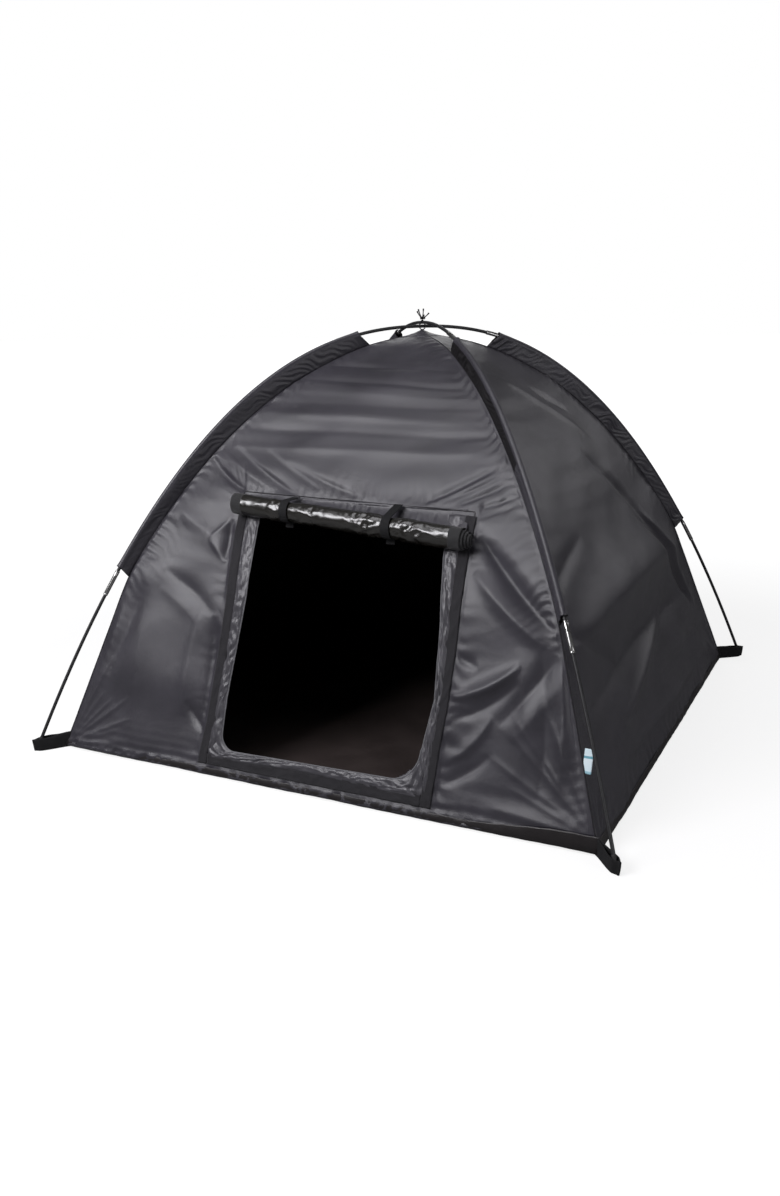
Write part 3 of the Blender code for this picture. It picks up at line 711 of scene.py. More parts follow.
FRONT_FOLDS = (      # in millimetres: from and to (across, height), width, height, bow
    # level bands across the top
    (-300, 745, 300, 739, 13, -2.2, -3), (-295, 690, 330, 688, 14, -3.6, -3),
    (-225, 818, 165, 806, 8, -2.2, 2), (-225, 788, 205, 773, 8, -2, -2),
    # from the door's upper corners to the ridges
    (-230, 563, -350, 630, 9, -9.5, 6), (-103, 562, -296, 653, 7.5, -6, 6),
    (-56, 577, -214, 648, 7.5, -4.6, 3), (49, 566, -155, 627, 9, -4.2, 4),
    (158, 556, 322, 639, 7.5, -4.8, -5), (195, 560, 345, 628, 5, -2.6, -4),
    (230, 556, 358, 616, 6, -4.8, -3), (280, 556, 383, 591, 5, -4.4, 0),
    (290, 540, 375, 572, 4, -2.4, 0),
    # right of the door
    (312, 515, 485, 360, 17, -17, -8), (303, 300, 345, 285, 10, -4, 0),
    (300, 186, 430, 272, 13, -6, -12), (398, 190, 495, 325, 18, -7.5, -6),
    (292, 66, 392, 140, 11, -4.8, -8), (460, 330, 488, 70, 18, -5, 12),
    (515, 300, 572, 110, 12, -6, -4), (300, 70, 590, 66, 11, -1.4, 0),
    # left of the door
    (-254, 512, -252, 430, 13, -9, 0), (-395, 400, -255, 318, 16, -4.6, 4),
    (-252, 318, -254, 105, 17, -8, 3), (-300, 140, -250, 85, 10, -5, 0),
    (-440, 370, -515, 170, 24, -6, 4), (-505, 330, -570, 100, 12, -4, 4),
    # the ridges between them
    (-440, 420, -425, 0, 85, 12, 0), (-300, 768, 265, 753, 13, 2.6, -3),
    (-300, 722, 310, 712, 13, 2.6, -3), (-310, 655, 330, 658, 18, 4.8, -3),
    (-165, 572, -325, 645, 10, 5.5, 6), (180, 556, 335, 632, 8, 2.8, -4),
    (312, 452, 471, 335, 19, 10, -6), (300, 226, 430, 300, 13, 12, -12),
    (425, 165, 520, 300, 22, 5, -6), (292, 105, 385, 205, 12, 6.8, -14),
    (420, 330, 440, 100, 30, 4.5, 16), (505, 330, 520, 90, 14, 5, 6), (290, 46, 592, 42, 8, 1.6, 0),
    (-250, 455, -400, 525, 22, 6, 0), (-246, 516, -296, 468, 8, 3, 0), (-296, 468, -248, 426, 8, 3, 0),
    (-400, 362, -290, 296, 18, 2.2, 4), (-288, 330, -304, 110, 20, 5.2, -10),
    (-478, 350, -548, 140, 18, 3.4, 0),
)


FRONT_FANS = (       # centre, count, first and last angle, reach, width, height, seed
    ((-0.600, 0.012), 7, 6, 62, 0.24, 0.0060, 0.0026, 61),
    ((0.600, 0.030), 7, 172, 112, 0.24, 0.0060, 0.0024, 62),
    ((0.292, 0.552), 5, 15, 60, 0.08, 0.0040, -0.0016, 63),
    ((-0.236, 0.552), 6, 105, 160, 0.09, 0.0040, -0.0020, 64),
)


def front_lift(x, t):
    """How far the front wall's cloth stands off its smooth shape."""
    z = wall_z(t)
    folds = 0.0
    for x0, z0, x1, z1, width, depth, bow in np.array(FRONT_FOLDS) / 1000.0:
        folds = folds + crease(x, t, (x0, z0), (x1, z1), width, depth, 0.35, bow)
    for row in FRONT_FANS:
        folds = folds + fan(x, t, *row)
    left = along(TAPE_LEFT, z) - TAPE_WIDTH / 2 - x
    right = x - along(TAPE_RIGHT, z) - TAPE_WIDTH / 2
    outside = np.maximum(np.maximum(left, right), z - SEAM_Z)
    below_seam = z < SEAM_Z
    fine = puckers(np.maximum(left, 0.0), t, 0.031, 0.0013, 0.022, 71) * below_seam * (left > -0.004)
    beside = puckers(np.maximum(right, 0.0), t + 9.0, 0.028, 0.0019, 0.024, 73)
    fine = fine + beside * below_seam * (right > -0.004)
    over = np.clip((x - SEAM_LEFT) / 0.03, 0, 1) * np.clip((SEAM_RIGHT - x) / 0.03, 0, 1)
    above = puckers(np.maximum(z - SEAM_Z, 0.0), x, 0.023, 0.0013, 0.018, 75)
    fine = fine + above * over * (z > SEAM_Z - 0.004)
    shown = smooth(outside / 0.010)
    below = smooth((TAPE_BOTTOM_Z - TAPE_WIDTH / 2 - z) / 0.010)
    crinkle = (crumple(x, t, 0.024, 81) - 0.62) * 0.010 * below
    rest = plain_relief(x, t, 11)
    quiet = 0.25 + 0.75 * shown
    return (rest * quiet + (folds + fine) * shown + crinkle) * ridge_fade(x, t)


# ---------------- walls
PEAK_HEIGHT, PEAK_REACH = 0.0105, 0.024


def drawn_up(points):
    """The crown of the tent is pulled up to the crossing of the poles."""
    away = np.hypot(points[..., 0], points[..., 1])
    points = points.copy()
    points[..., 2] += PEAK_HEIGHT * np.exp(-(away / PEAK_REACH) ** 1.2)
    return points


def low_edge(side, x):
    """Height of a wall's lower edge along the floor: it lifts near the front right corner."""
    low = 0.005 + 0.0012 * Noise(90 + side)(x * 12.0, 0.0 * x)
    if side == 0:
        low = low + 0.028 * smooth((x - 0.35) / 0.20)
    elif side == 1:
        low = low + 0.016 * smooth((-0.45 - x) / 0.12)
    return low


SIDE_FOLDS = (       # the same for the right wall: across runs from the front ridge, negative, to the back
    (-500, 315, 480, 335, 60, 30, 30), (-500, 200, 480, 225, 50, -20, 20),
    (-400, 85, 400, 70, 14, 6, -10), (-300, 130, 480, 130, 16, -4, -10),
    (-380, 120, 250, 260, 14, 6, -20), (190, 480, 455, 190, 20, -12, 12),
    (260, 460, 490, 170, 16, 7, 12), (60, 620, 300, 400, 18, -8, 12), (-460, 420, -200, 480, 20, -6, 6),
    (-470, 350, -200, 230, 16, -8, 0), (50, 760, 160, 700, 12, -5, 0), (-100, 800, 180, 640, 16, 4, 0),
)


def wall_lift(side, x, t):
    if side == 0:
        return front_lift(x, t)
    lift = plain_relief(x, t, 20 + 10 * side, 0.6)
    folds = 0.0
    mirror, taut = (1.0, 1.0) if side == 1 else (-1.0 if side == 3 else 1.0, 0.55)
    for x0, z0, x1, z1, width, depth, bow in np.array(SIDE_FOLDS) / 1000.0:
        folds = folds + crease(mirror * x, t, (x0, z0), (x1, z1), width, depth * taut, 0.3, bow)
    folds = folds + fan(x, t, (-0.600, 0.012), 7, 8, 62, 0.14, 0.006, 0.0028, 161 + side)
    folds = folds + fan(x, t, (0.600, 0.012), 7, 172, 118, 0.14, 0.006, 0.0028, 171 + side)
    return lift + folds * ridge_fade(x, t)


DOOR_WALL_GRID, PLAIN_WALL_GRID = (301, 361), (181, 211)      # rows up it, columns across it
OPENING_MARGIN, OPENING_WIDTH = 0.006, 0.43       # cut back behind the piping; its mean width


def make_wall(side, name):
    door = name == "front_wall"
    rows, columns = DOOR_WALL_GRID if door else PLAIN_WALL_GRID
    u = np.linspace(-1.0, 1.0, columns)
    v = np.linspace(0.0, 1.0, rows)[:, None]
    low = wall_t(low_edge(side, u * FLOOR_HALF))[None, :]
    T = low + (WALL_TOP - 0.004 - low) * v
    X = u[None, :] * wall_half(T)
    points = drawn_up(wall_points(X, T, wall_lift(side, X, T) + 0.0004, side))
    keep = None
    if door:
        Z = wall_z(T)
        keep = ~inside_opening(face_middles(X), face_middles(Z), OPENING_MARGIN)
    obj = sheet_mesh(f"cloth_{name}", points, np.stack([X, T], -1), [SHELL, LINING], keep=keep, lining=1)
    finish_piece(obj, "tent", "shell_fabric", name)
    area = float(np.trapz(2 * WALL_HALF, WALL_T))
    if door:
        area -= OPENING_WIDTH * (wall_t(OPENING_TOP) - wall_t(OPENING_BOTTOM[0]))


def finish_piece(piece, body, slot, *nodes):
    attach(piece, body)
    if nodes:
        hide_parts(*nodes)


FLOOR_GRID, TURN_UP = 141, 0.030


def make_groundsheet():
    """The floor sheet: its edge turns up inside the walls and puckers along the seam."""
    p = np.linspace(-1.0, 1.0, FLOOR_GRID)
    flat, run = FLOOR_HALF - 0.0008, TURN_UP
    whole = flat + run * 0.9
    A, B = np.meshgrid(p * whole, p * whole, indexing="xy")

    def place(a):
        over = np.clip((np.abs(a) - (flat - run * 0.25)) / run, 0.0, 1.2)
        rounded = 0.0045 * (1.0 - smooth(over * 2.6)) + 0.0036 * smooth((over - 0.50) * 2.2)
        return np.sign(a) * np.minimum(np.abs(a), flat - rounded * (over > 0)), over

    X, over_x = place(A)
    Y, over_y = place(B)
    over = np.maximum(over_x, over_y)
    corner_high = 0.018 * smooth((X - 0.34) / 0.22) * (Y < 0) * (over_y > 0)
    corner_high = np.maximum(corner_high, 0.010 * smooth((-0.44 - Y) / 0.12) * (X > 0) * (over_x > 0))
    rim = (RIM_HEIGHT - 0.004 + corner_high) * smooth(over) ** 1.2
    ripple = 0.0010 * np.sin((A + B) * 150.0) * smooth(over * 2.0)
    tuck = 0.0009 * np.abs(Noise(401)(A * 30.0, B * 30.0)) * smooth(over)
    X, Y = X - np.sign(X) * tuck * (over_x > 0), Y - np.sign(Y) * tuck * (over_y > 0)
    wrinkle = 0.0016 * np.clip(Noise(400)(A * 8.0, B * 8.0) + 0.2, 0, 1) + 0.0008
    Z = np.maximum(rim + ripple * 0.4, 0.0) + wrinkle * (1.0 - smooth(over)) + 0.0008
    points = np.stack([X, Y, Z], -1)
    obj = sheet_mesh("cloth_groundsheet", points, np.stack([A, B], -1), [FLOOR, RIM])
    edge = over[:-1, :-1] > 0.12
    obj.data.polygons.foreach_set("material_index", edge.ravel().astype(np.int32))
    finish_piece(obj, "tent", "floor_fabric", "groundsheet")


def make_ridge_seams():
    """A rolled seam down each ridge, with the crown's seams above it."""
    for place, (sx, sy) in CORNERS.items():
        t = np.linspace(0.010, WALL_TOP - 0.010, 240)
        half, z = wall_half(t), wall_z(t)
        wobble = 0.0003 * Noise(500)(t * 16.0, sx + 2.0 * sy + 0.0 * t)
        path = drawn_up(np.stack([sx * (half + wobble), sy * (half + wobble), z], -1))
        piece = tube(f"ridge_seam_{place}", path, 0.0014 + 0.00008 * np.sin(t * 900.0), BINDING, sides=10)
        finish_piece(piece, "tent", "binding", f"ridge_binding_{place}")


CORD_ENDS = ((25.0, 0.015, 0.010), (80.0, 0.006, 0.0195), (165.0, 0.015, 0.014), (215.0, 0.009, 0.0185),
             (300.0, 0.012, 0.006))          # direction, how far out, how far up
PATCH_HALF = 0.036


def make_crown():
    """The patch over the walls' tops, and the cord that ties it up to the crossing."""
    p = np.linspace(-PATCH_HALF, PATCH_HALF, 45)
    X, Y = np.meshgrid(p, p, indexing="xy")
    reach = np.maximum(np.abs(X), np.abs(Y))
    Z = np.interp(reach, WALL_HALF[::-1], WALL_Z[::-1]) + 0.0016
    edge = smooth((PATCH_HALF - reach) / 0.004)
    Z = Z + 0.0006 * Noise(600)(X * 130.0, Y * 130.0) * edge - 0.0012 * (1 - edge)
    points = drawn_up(np.stack([X, Y, Z], -1))
    obj = sheet_mesh("cloth_crown", points, np.stack([X, Y], -1), [SHELL, SHELL], thickness=0.0006)
    finish_piece(obj, "tent", "shell_fabric", "crown_patch")

    base = POLE_FOOT_Z + POLE_RISE
    low, high = CROWN_Z + PEAK_HEIGHT + 0.0010, base + CROSSING_LIFT + POLE_RADIUS + 0.0020
    turns = np.linspace(0.0, 4 * math.pi, 130)
    wide, middle, rise = 0.0085, (low + high) / 2, (high - low) / 2
    spin = turns * 0.5 + 0.5
    loop = np.stack([wide * np.sin(turns) * np.cos(spin), wide * np.sin(turns) * np.sin(spin),
                     middle - rise * np.cos(turns)], -1)
    knot = np.linspace(0.0, 2 * math.pi, 90)
    top = high + 0.0040
    trefoil = np.stack([0.0019 * (np.sin(knot) + 2 * np.sin(2 * knot)),
                        0.0019 * (np.cos(knot) - 2 * np.cos(2 * knot)), top - 0.0022 * np.sin(3 * knot)], -1)
    parts = [tube("cord_loop", loop, 0.0011, CORD, sides=8),
             tube("cord_knot", trefoil, 0.0014, CORD, sides=8)]
    rng = np.random.RandomState(7)
    for turn, spread, up in CORD_ENDS:
        angle = math.radians(turn)
        k = np.linspace(0.0, 1.0, 14)
        bend = 0.25 * rng.uniform(-1, 1)
        out, angle = spread * k ** 0.8, angle + bend * k
        path = np.stack([out * np.cos(angle), out * np.sin(angle), top + up * k ** 1.3], -1)
        parts.append(tube("cord_end", path, 0.0012 + 0.0006 * smooth((k - 0.75) * 4), CORD, sides=8))
    knot_cord = join(parts, "knot_cord")
    finish_piece(knot_cord, "tent", "tie_cord", "crown_tie")


def join(parts, name):
    """One object from several meshes that share a material."""
    bm = bmesh.new()
    for part in parts:
        bm.from_mesh(part.data)
    mesh = bpy.data.meshes.new(name)
    bm.to_mesh(mesh)
    bm.free()
    for material in parts[0].data.materials:
        mesh.materials.append(material)
    for part in parts:
        bpy.data.objects.remove(part, do_unlink=True)
    return add_object(name, mesh)


# ---------------- poles
FERRULE_PLACES = (-1, -0.985, -0.97, -0.9, -0.88, -0.86, -0.5, 0, 0.5, 0.86, 0.88, 0.9, 0.97, 0.985, 1)
FERRULE_STEPS = (-4, -1, 0, 0, -3, 0, 0, 0, 0, 0, -3, 0, 0, -1, -4)     # crimped, in tenths of a millimetre
SECTION_GAP = 0.0012


def make_poles():
    joints = [SECTION_LENGTH * (k - SECTIONS / 2) for k in range(1, SECTIONS)]
    ends = [-HALF_POLE] + joints + [HALF_POLE]
    for letter, corner, lifted in (("a", (1, 1), False), ("b", (1, -1), True)):
        for k, (start, stop) in enumerate(zip(ends, ends[1:]), 1):
            path = pole_path(np.linspace(start + SECTION_GAP, stop - SECTION_GAP, 40), lifted, corner)
            piece = tube(f"rod_{letter}_{k}", path, POLE_RADIUS, POLE)
            finish_piece(piece, "tent", "pole", f"pole_{letter}_section_{k}")
        for k, joint in enumerate(joints, 1):
            radii = FERRULE_RADIUS + np.array(FERRULE_STEPS) * 0.0001
            s = joint + np.array(FERRULE_PLACES) * FERRULE_HALF
            path = pole_path(s, lifted, corner)
            piece = tube(f"ferrule_{letter}_{k}", path, radii, STEEL, sides=24, rounded=False)
            finish_piece(piece, "tent", "ferrule", f"pole_{letter}_ferrule_{k}")
        for k, side in enumerate((-1, 1), 1):
            s = side * (HALF_POLE + np.linspace(0.0006, TIP_LENGTH - 0.002, 8))
            path = pole_path(s, lifted, corner)
            piece = tube(f"tip_{letter}_{k}", path, TIP_RADIUS, RUBBER)
            finish_piece(piece, "tent", "pole_tip", f"pole_{letter}_tip_{k}")


# ---------------- sleeves and foot loops
# the first number is how far down the front right sleeve its painted shade runs
SLEEVE_SHADE_END, SLEEVE_GRID = 0.595, (260, 41)       # rows along it, columns round it
OVER_POLE = 0.42               # the share of its width that lies over the pole, not down its sides


def fabric_gap(s):
    gap = CROWN_GAP + (SLEEVE_GAP - CROWN_GAP) * smooth(s / SLEEVE_GAP_REACH)
    low = smooth((s - FOOT_GAP_START) / (SLEEVE_FOOT - FOOT_GAP_START))
    return gap + (FOOT_GAP - gap) * low


def make_sleeve(place, corner, lifted, seed):
    """Cloth sewn to the ridge and folded over the pole; its mouths are cut at a slant."""
    sx, sy = corner
    beside = np.array([-sy * ROOT_HALF, sx * ROOT_HALF, 0.0])
    c = np.linspace(-1.0, 1.0, SLEEVE_GRID[1])[None, :]
    side = np.abs(c)
    down = np.clip((side - OVER_POLE) / (1.0 - OVER_POLE), 0.0, 1.0)
    first = SLEEVE_TOPS[place] + 0.006 - 0.022 * down
    last = SLEEVE_FOOT - 0.004 + 0.010 * down
    s = first + (last - first) * np.linspace(0.0, 1.0, SLEEVE_GRID[0])[:, None]
    along_r, along_z = arch_slope(s)
    centre = pole_path(s, lifted, corner)
    outward = on_diagonal(-along_z, along_r, corner)
    angle = np.clip(1.0 - side / OVER_POLE, 0.0, 1.0) * math.pi / 2
    mouth = 1.0 + 0.35 * np.exp(-(s - first) / 0.012) + 0.25 * np.exp(-(last - s) / 0.010)
    around = np.where(side < OVER_POLE, np.cos(angle) * SLEEVE_HALF_WIDTH,
                      SLEEVE_HALF_WIDTH * (1 - down) ** 0.8 + 0.0008) * mouth
    height = np.sin(angle) * SLEEVE_HALF_WIDTH * mouth - down * (fabric_gap(s) + 0.0008)
    slope = (s + 1.6 * down * fabric_gap(s)) * 2 * math.pi / 0.019
    hills = np.sin(slope * 0.8 + Noise(seed)(s * 24.0, c * 0.9) * 11.0)
    hills = np.sign(hills) * np.abs(hills) ** 0.7
    gathered = 0.10 + 1.10 * np.abs(Noise(seed + 1)(s * 9.0, c * 0.0 + 1.5))
    strength = (0.0009 if place == "front_left" else 0.0026) * gathered
    belly = np.sin(down * math.pi) ** 0.7
    bulge = (hills * strength + Noise(seed + 2)(s * 7.0, c * 1.2) * 0.0022) * belly
    bulge = np.maximum(bulge, -0.0042 * (1 - down)) * np.sign(c)
    points = centre + beside * (np.sign(c) * around + bulge)[..., None] + outward * height[..., None]
    obj = sheet_mesh(f"cloth_sleeve_{place}", points, pair(c * 0.045, s), [SHELL, LINING, SLEEVE_SHADE],
                     thickness=0.0005, lining=1, flip=True)
    if place == "front_right":
        # its left side is painted near-black, a painted shade for the shadow under the pole tube, down to
        # below the door's top
        torn = 0.016 * Noise(seed + 4)(s * 30.0, c * 2.0)
        painted_shade_mask = (c < 0) & (down > 0.10) & (s + torn < SLEEVE_SHADE_END)
        obj.data.polygons.foreach_set("material_index", (2 * painted_shade_mask[:-1, :-1]).ravel().astype(np.int32))
    finish_piece(obj, "tent", "shell_fabric", f"sleeve_{place}")


def make_foot_loop(place, corner, seed):
    """Webbing on edge: out from the floor's corner, round the end of the pole and back."""
    sx, sy = corner
    tip_r = float(arch_points([HALF_POLE + TIP_LENGTH / 2], False)[0][0])
    start, end, wide, pinch = 0.8455, 0.9300, 0.0072, 0.0014
    r = start + (end - start) * 0.5 * (1.0 - np.cos(np.linspace(0.0, math.pi, 46)))
    reach = np.where(r < tip_r, tip_r - start, end - tip_r)
    b = pinch + (wide - pinch) * 0.5 * (1.0 + np.cos(math.pi * (r - tip_r) / reach))
    r = np.concatenate([r, r[::-1]])
    b = np.concatenate([b, -b[::-1]])
    t = (r - start) / (end - start)
    tall = 0.0345 - 0.0085 * t + 0.0012 * Noise(seed)(t * 3.0, b * 90.0)
    v = np.linspace(0.0, 1.0, 9)
    lean = 0.0018 * Noise(seed + 1)(t * 2.5, b * 60.0)
    B = b[:, None] + lean[:, None] * v + 0.0006 * np.sin(v * math.pi)[None, :] * np.sign(b)[:, None]
    R = r[:, None] + 0.0030 * (v - 0.5)[None, :] * smooth((t - 0.6) / 0.4)[:, None]
    Z = 0.0010 + tall[:, None] * v[None, :]
    points = np.stack([(sx * R - sy * B) * ROOT_HALF, (sy * R + sx * B) * ROOT_HALF, Z], -1)
    cloth = pair((v * 0.034)[None, :], run_length(pair(r, b))[:, None])
    obj = sheet_mesh(f"webbing_loop_{place}", points, cloth, [WEBBING], thickness=0.0014)
    finish_piece(obj, "tent", "webbing", f"foot_loop_{place}")
    normal = np.array([-sy, sx, 0.0]) * ROOT_HALF
    stitch = stitches(f"stitching_loop_{place}", [points[:16, k] for k in (1, 7)], normal, 0.0006)
    finish_piece(stitch, "tent", "webbing")


STITCH_LENGTH, STITCH_STEP, STITCH_RADIUS = 0.0036, 0.0056, 0.00038


def stitches(name, rows, normal, lift):
    """Rows of separate stitches along paths, standing a little off the cloth."""
    verts, faces, cloth = [], [], []
    for row in rows:
        place = run_length(row)
        up = np.broadcast_to(normal, row.shape)

        def at(s, values):
            return np.array([np.interp(s, place, values[:, i]) for i in range(3)])

        for k in range(int(place[-1] / STITCH_STEP)):
            s = k * STITCH_STEP
            first, last, n = at(s, row), at(s + STITCH_LENGTH, row), unit(at(s, up))
            beside = unit(np.cross(last - first, n))
            middle, sunk = (first + last) / 2 + n * lift, n * (lift - STITCH_RADIUS)
            base = len(verts)
            verts += [first + sunk] + [middle + out * STITCH_RADIUS for out in (beside, n, -beside, -n)]
            verts.append(last + sunk)
            cloth += [(base * 0.001, s)] * 6
            for i in range(4):
                j = (i + 1) % 4
                faces += [(base, base + 1 + j, base + 1 + i), (base + 5, base + 1 + i, base + 1 + j)]
    return add_mesh(name, verts, faces, [THREAD], np.array(cloth))


# ---------------- round the door opening
def on_front(x, z, lift):
    """Points on the front wall's cloth, and its outward normals."""
    t = wall_t(z)
    _, _, out, up = wall_frame(t)
    points = wall_points(x, t, front_lift(x, t) + lift, 0)
    return points, np.stack([0.0 * t, -out, up], -1)


def make_facing():
    """The crinkled strip of cloth between the opening's edge and the tape."""
    w = np.linspace(0.0, 1.0, 23)[None, :]
    inner, outer = OPENING_EDGE[:, None, :], TAPE_LINE[:, None, :]
    place = inner + (outer - inner) * w[..., None]
    reach = np.linalg.norm(outer - inner, axis=-1)
    free = 1.0 - 0.5 * TAPE_WIDTH / reach
    s = run_length((OPENING_EDGE + TAPE_LINE) / 2)[:, None]
    span = w * reach
    rough = crumple(s * 0.75 + span * 0.5, span * 0.9 - s * 0.2, 0.019, 200)
    rough = np.clip((rough - 0.52) / 0.40, 0.0, 1.2)
    gather = 0.5 + 0.5 * np.sin(s * 2 * math.pi / 0.019 + Noise(205)(s * 15.0, span * 20.0) * 6.0)
    belly = np.sin(np.clip(w / free, 0.0, 1.0) * math.pi) ** 0.6
    lift = 0.0009 + (rough * 0.0046 + gather * 0.0014) * belly + 0.0005 * (1 - w)
    points, _ = on_front(place[..., 0], place[..., 1], lift)
    # the facing's lighter colour is a painted highlight
    obj = sheet_mesh("cloth_facing", points, pair(span, s), [FACING_PAINTED_LIGHT], flip=True)
    finish_piece(obj, "tent", "shell_fabric")
    path, _ = on_front(OPENING_EDGE[:, 0], OPENING_EDGE[:, 1], 0.0012)
    wobble = 0.0005 * Noise(210)(np.arange(len(path)) * 0.23, 0.5 + 0.0 * np.arange(len(path)))
    path[:, 0] += wobble
    piece = tube("edge_piping", path, 0.0014, PIPING, sides=8)
    finish_piece(piece, "tent", "piping", "opening_piping")


def tape_strip(name, x, z, across, node_name, seed):
    """A hook tape sewn on the wall along a line of places, across in the wall's plane."""
    v = np.linspace(-1.0, 1.0, 11)
    edge = 1.0 + 0.02 * Noise(seed)(np.linspace(0, 9, len(x)), 0.3 + 0.0 * x)
    X = x[:, None] + across[0] * v[None, :] * TAPE_WIDTH / 2 * edge[:, None]
    Z = z[:, None] + across[1] * v[None, :] * TAPE_WIDTH / 2 * edge[:, None]
    wave = 0.0026 * np.clip(Noise(seed + 1)(np.linspace(0, 22, len(x))[:, None], v[None, :] * 0.9), 0, 1)
    points, normals = on_front(X, Z, 0.0024 + wave)
    cloth = pair(v[None, :] * TAPE_WIDTH / 2, run_length(pair(x, z))[:, None])
    obj = sheet_mesh(name, points, cloth, [HOOK], flip=across[0] == 0.0, thickness=0.0010)
    finish_piece(obj, "tent", "hook_tape", node_name)
    stitch = stitches(f"stitching_{node_name}", [points[:, 1], points[:, -2]], normals[:, 5], 0.0003)
    finish_piece(stitch, "tent", "hook_tape")


def make_tapes():
    z = np.linspace(TAPE_BOTTOM_Z - TAPE_WIDTH / 2, OPENING_TOP, 190)
    tape_strip("strip_left", along(TAPE_LEFT, z), z, (1.0, 0.0), "hook_tape_left", 220)
    tape_strip("strip_right", along(TAPE_RIGHT, z), z, (1.0, 0.0), "hook_tape_right", 230)
    inside = TAPE_WIDTH / 2 + 0.0006
    low = along(TAPE_LEFT, TAPE_BOTTOM_Z) + inside, along(TAPE_RIGHT, TAPE_BOTTOM_Z) - inside
    x = np.linspace(*low, 170)
    tape_strip("strip_bottom", x, 0.0 * x + TAPE_BOTTOM_Z, (0.0, 1.0), "hook_tape_bottom", 240)


def make_top_seam():
    """The seam the door hangs from: a fold of cloth with a row of stitches, turned down at its ends."""
    x = np.linspace(SEAM_LEFT, SEAM_RIGHT, 150)
    z = SEAM_Z + 0.005 - 0.009 * (x - SEAM_LEFT) / (SEAM_RIGHT - SEAM_LEFT)
    down = np.linspace(0.002, 0.034, 14)
    x = np.concatenate([SEAM_LEFT - 0.001 - 0.1 * down[::-1], x, SEAM_RIGHT + 0.001 + 0.1 * down])
    z = np.concatenate([z[0] - down[::-1], z, z[-1] - down])
    path, _ = on_front(x, z, 0.0004)
    piece = tube("door_seam", path, 0.0011, BINDING, sides=8)
    finish_piece(piece, "tent", "binding")
    above, up = on_front(x, z + 0.005, 0.0003)
    finish_piece(stitches("stitching_door_seam", [above], up, 0.0002), "tent", "binding")


# ---------------- the rolled door
ROLL_LEFT, ROLL_RIGHT, ROLL_RADIUS, ROLL_CLEARANCE = -0.2355, 0.3095, 0.024, 0.004
ROLL_DROPS = (0.012, 0.047)                  # its axis below the seam, at its left and right ends
ROLL_PITCH, ROLL_CORE, ROLL_STEPS, ROLL_COLUMNS = 0.0030, 0.0045, 40, 171
ROLL_HEM = 0.024                             # matte tape along the door's sides
TIE_X, TIE_WIDTH, TIE_THICKNESS, TIE_CLEARANCE = (-0.103, 0.132), 0.019, 0.0014, 0.0007
TIE_END_ANGLE, TIE_TAB, FLAP_HALF = 282.0, 0.013, 0.001
RUMPLED = ((-0.128, 0.016, 0.9), (-0.045, 0.034, 0.9), (0.088, 0.030, 1.6),
           (0.175, 0.032, 1.6))              # place, reach, how much


def roll_centre(x):
    place = (x - ROLL_LEFT) / (ROLL_RIGHT - ROLL_LEFT)
    z = SEAM_Z - (ROLL_DROPS[0] + (ROLL_DROPS[1] - ROLL_DROPS[0]) * place)
    half, _, out, _ = wall_frame(wall_t(z))
    return -half - (ROLL_RADIUS + ROLL_CLEARANCE) / out, z


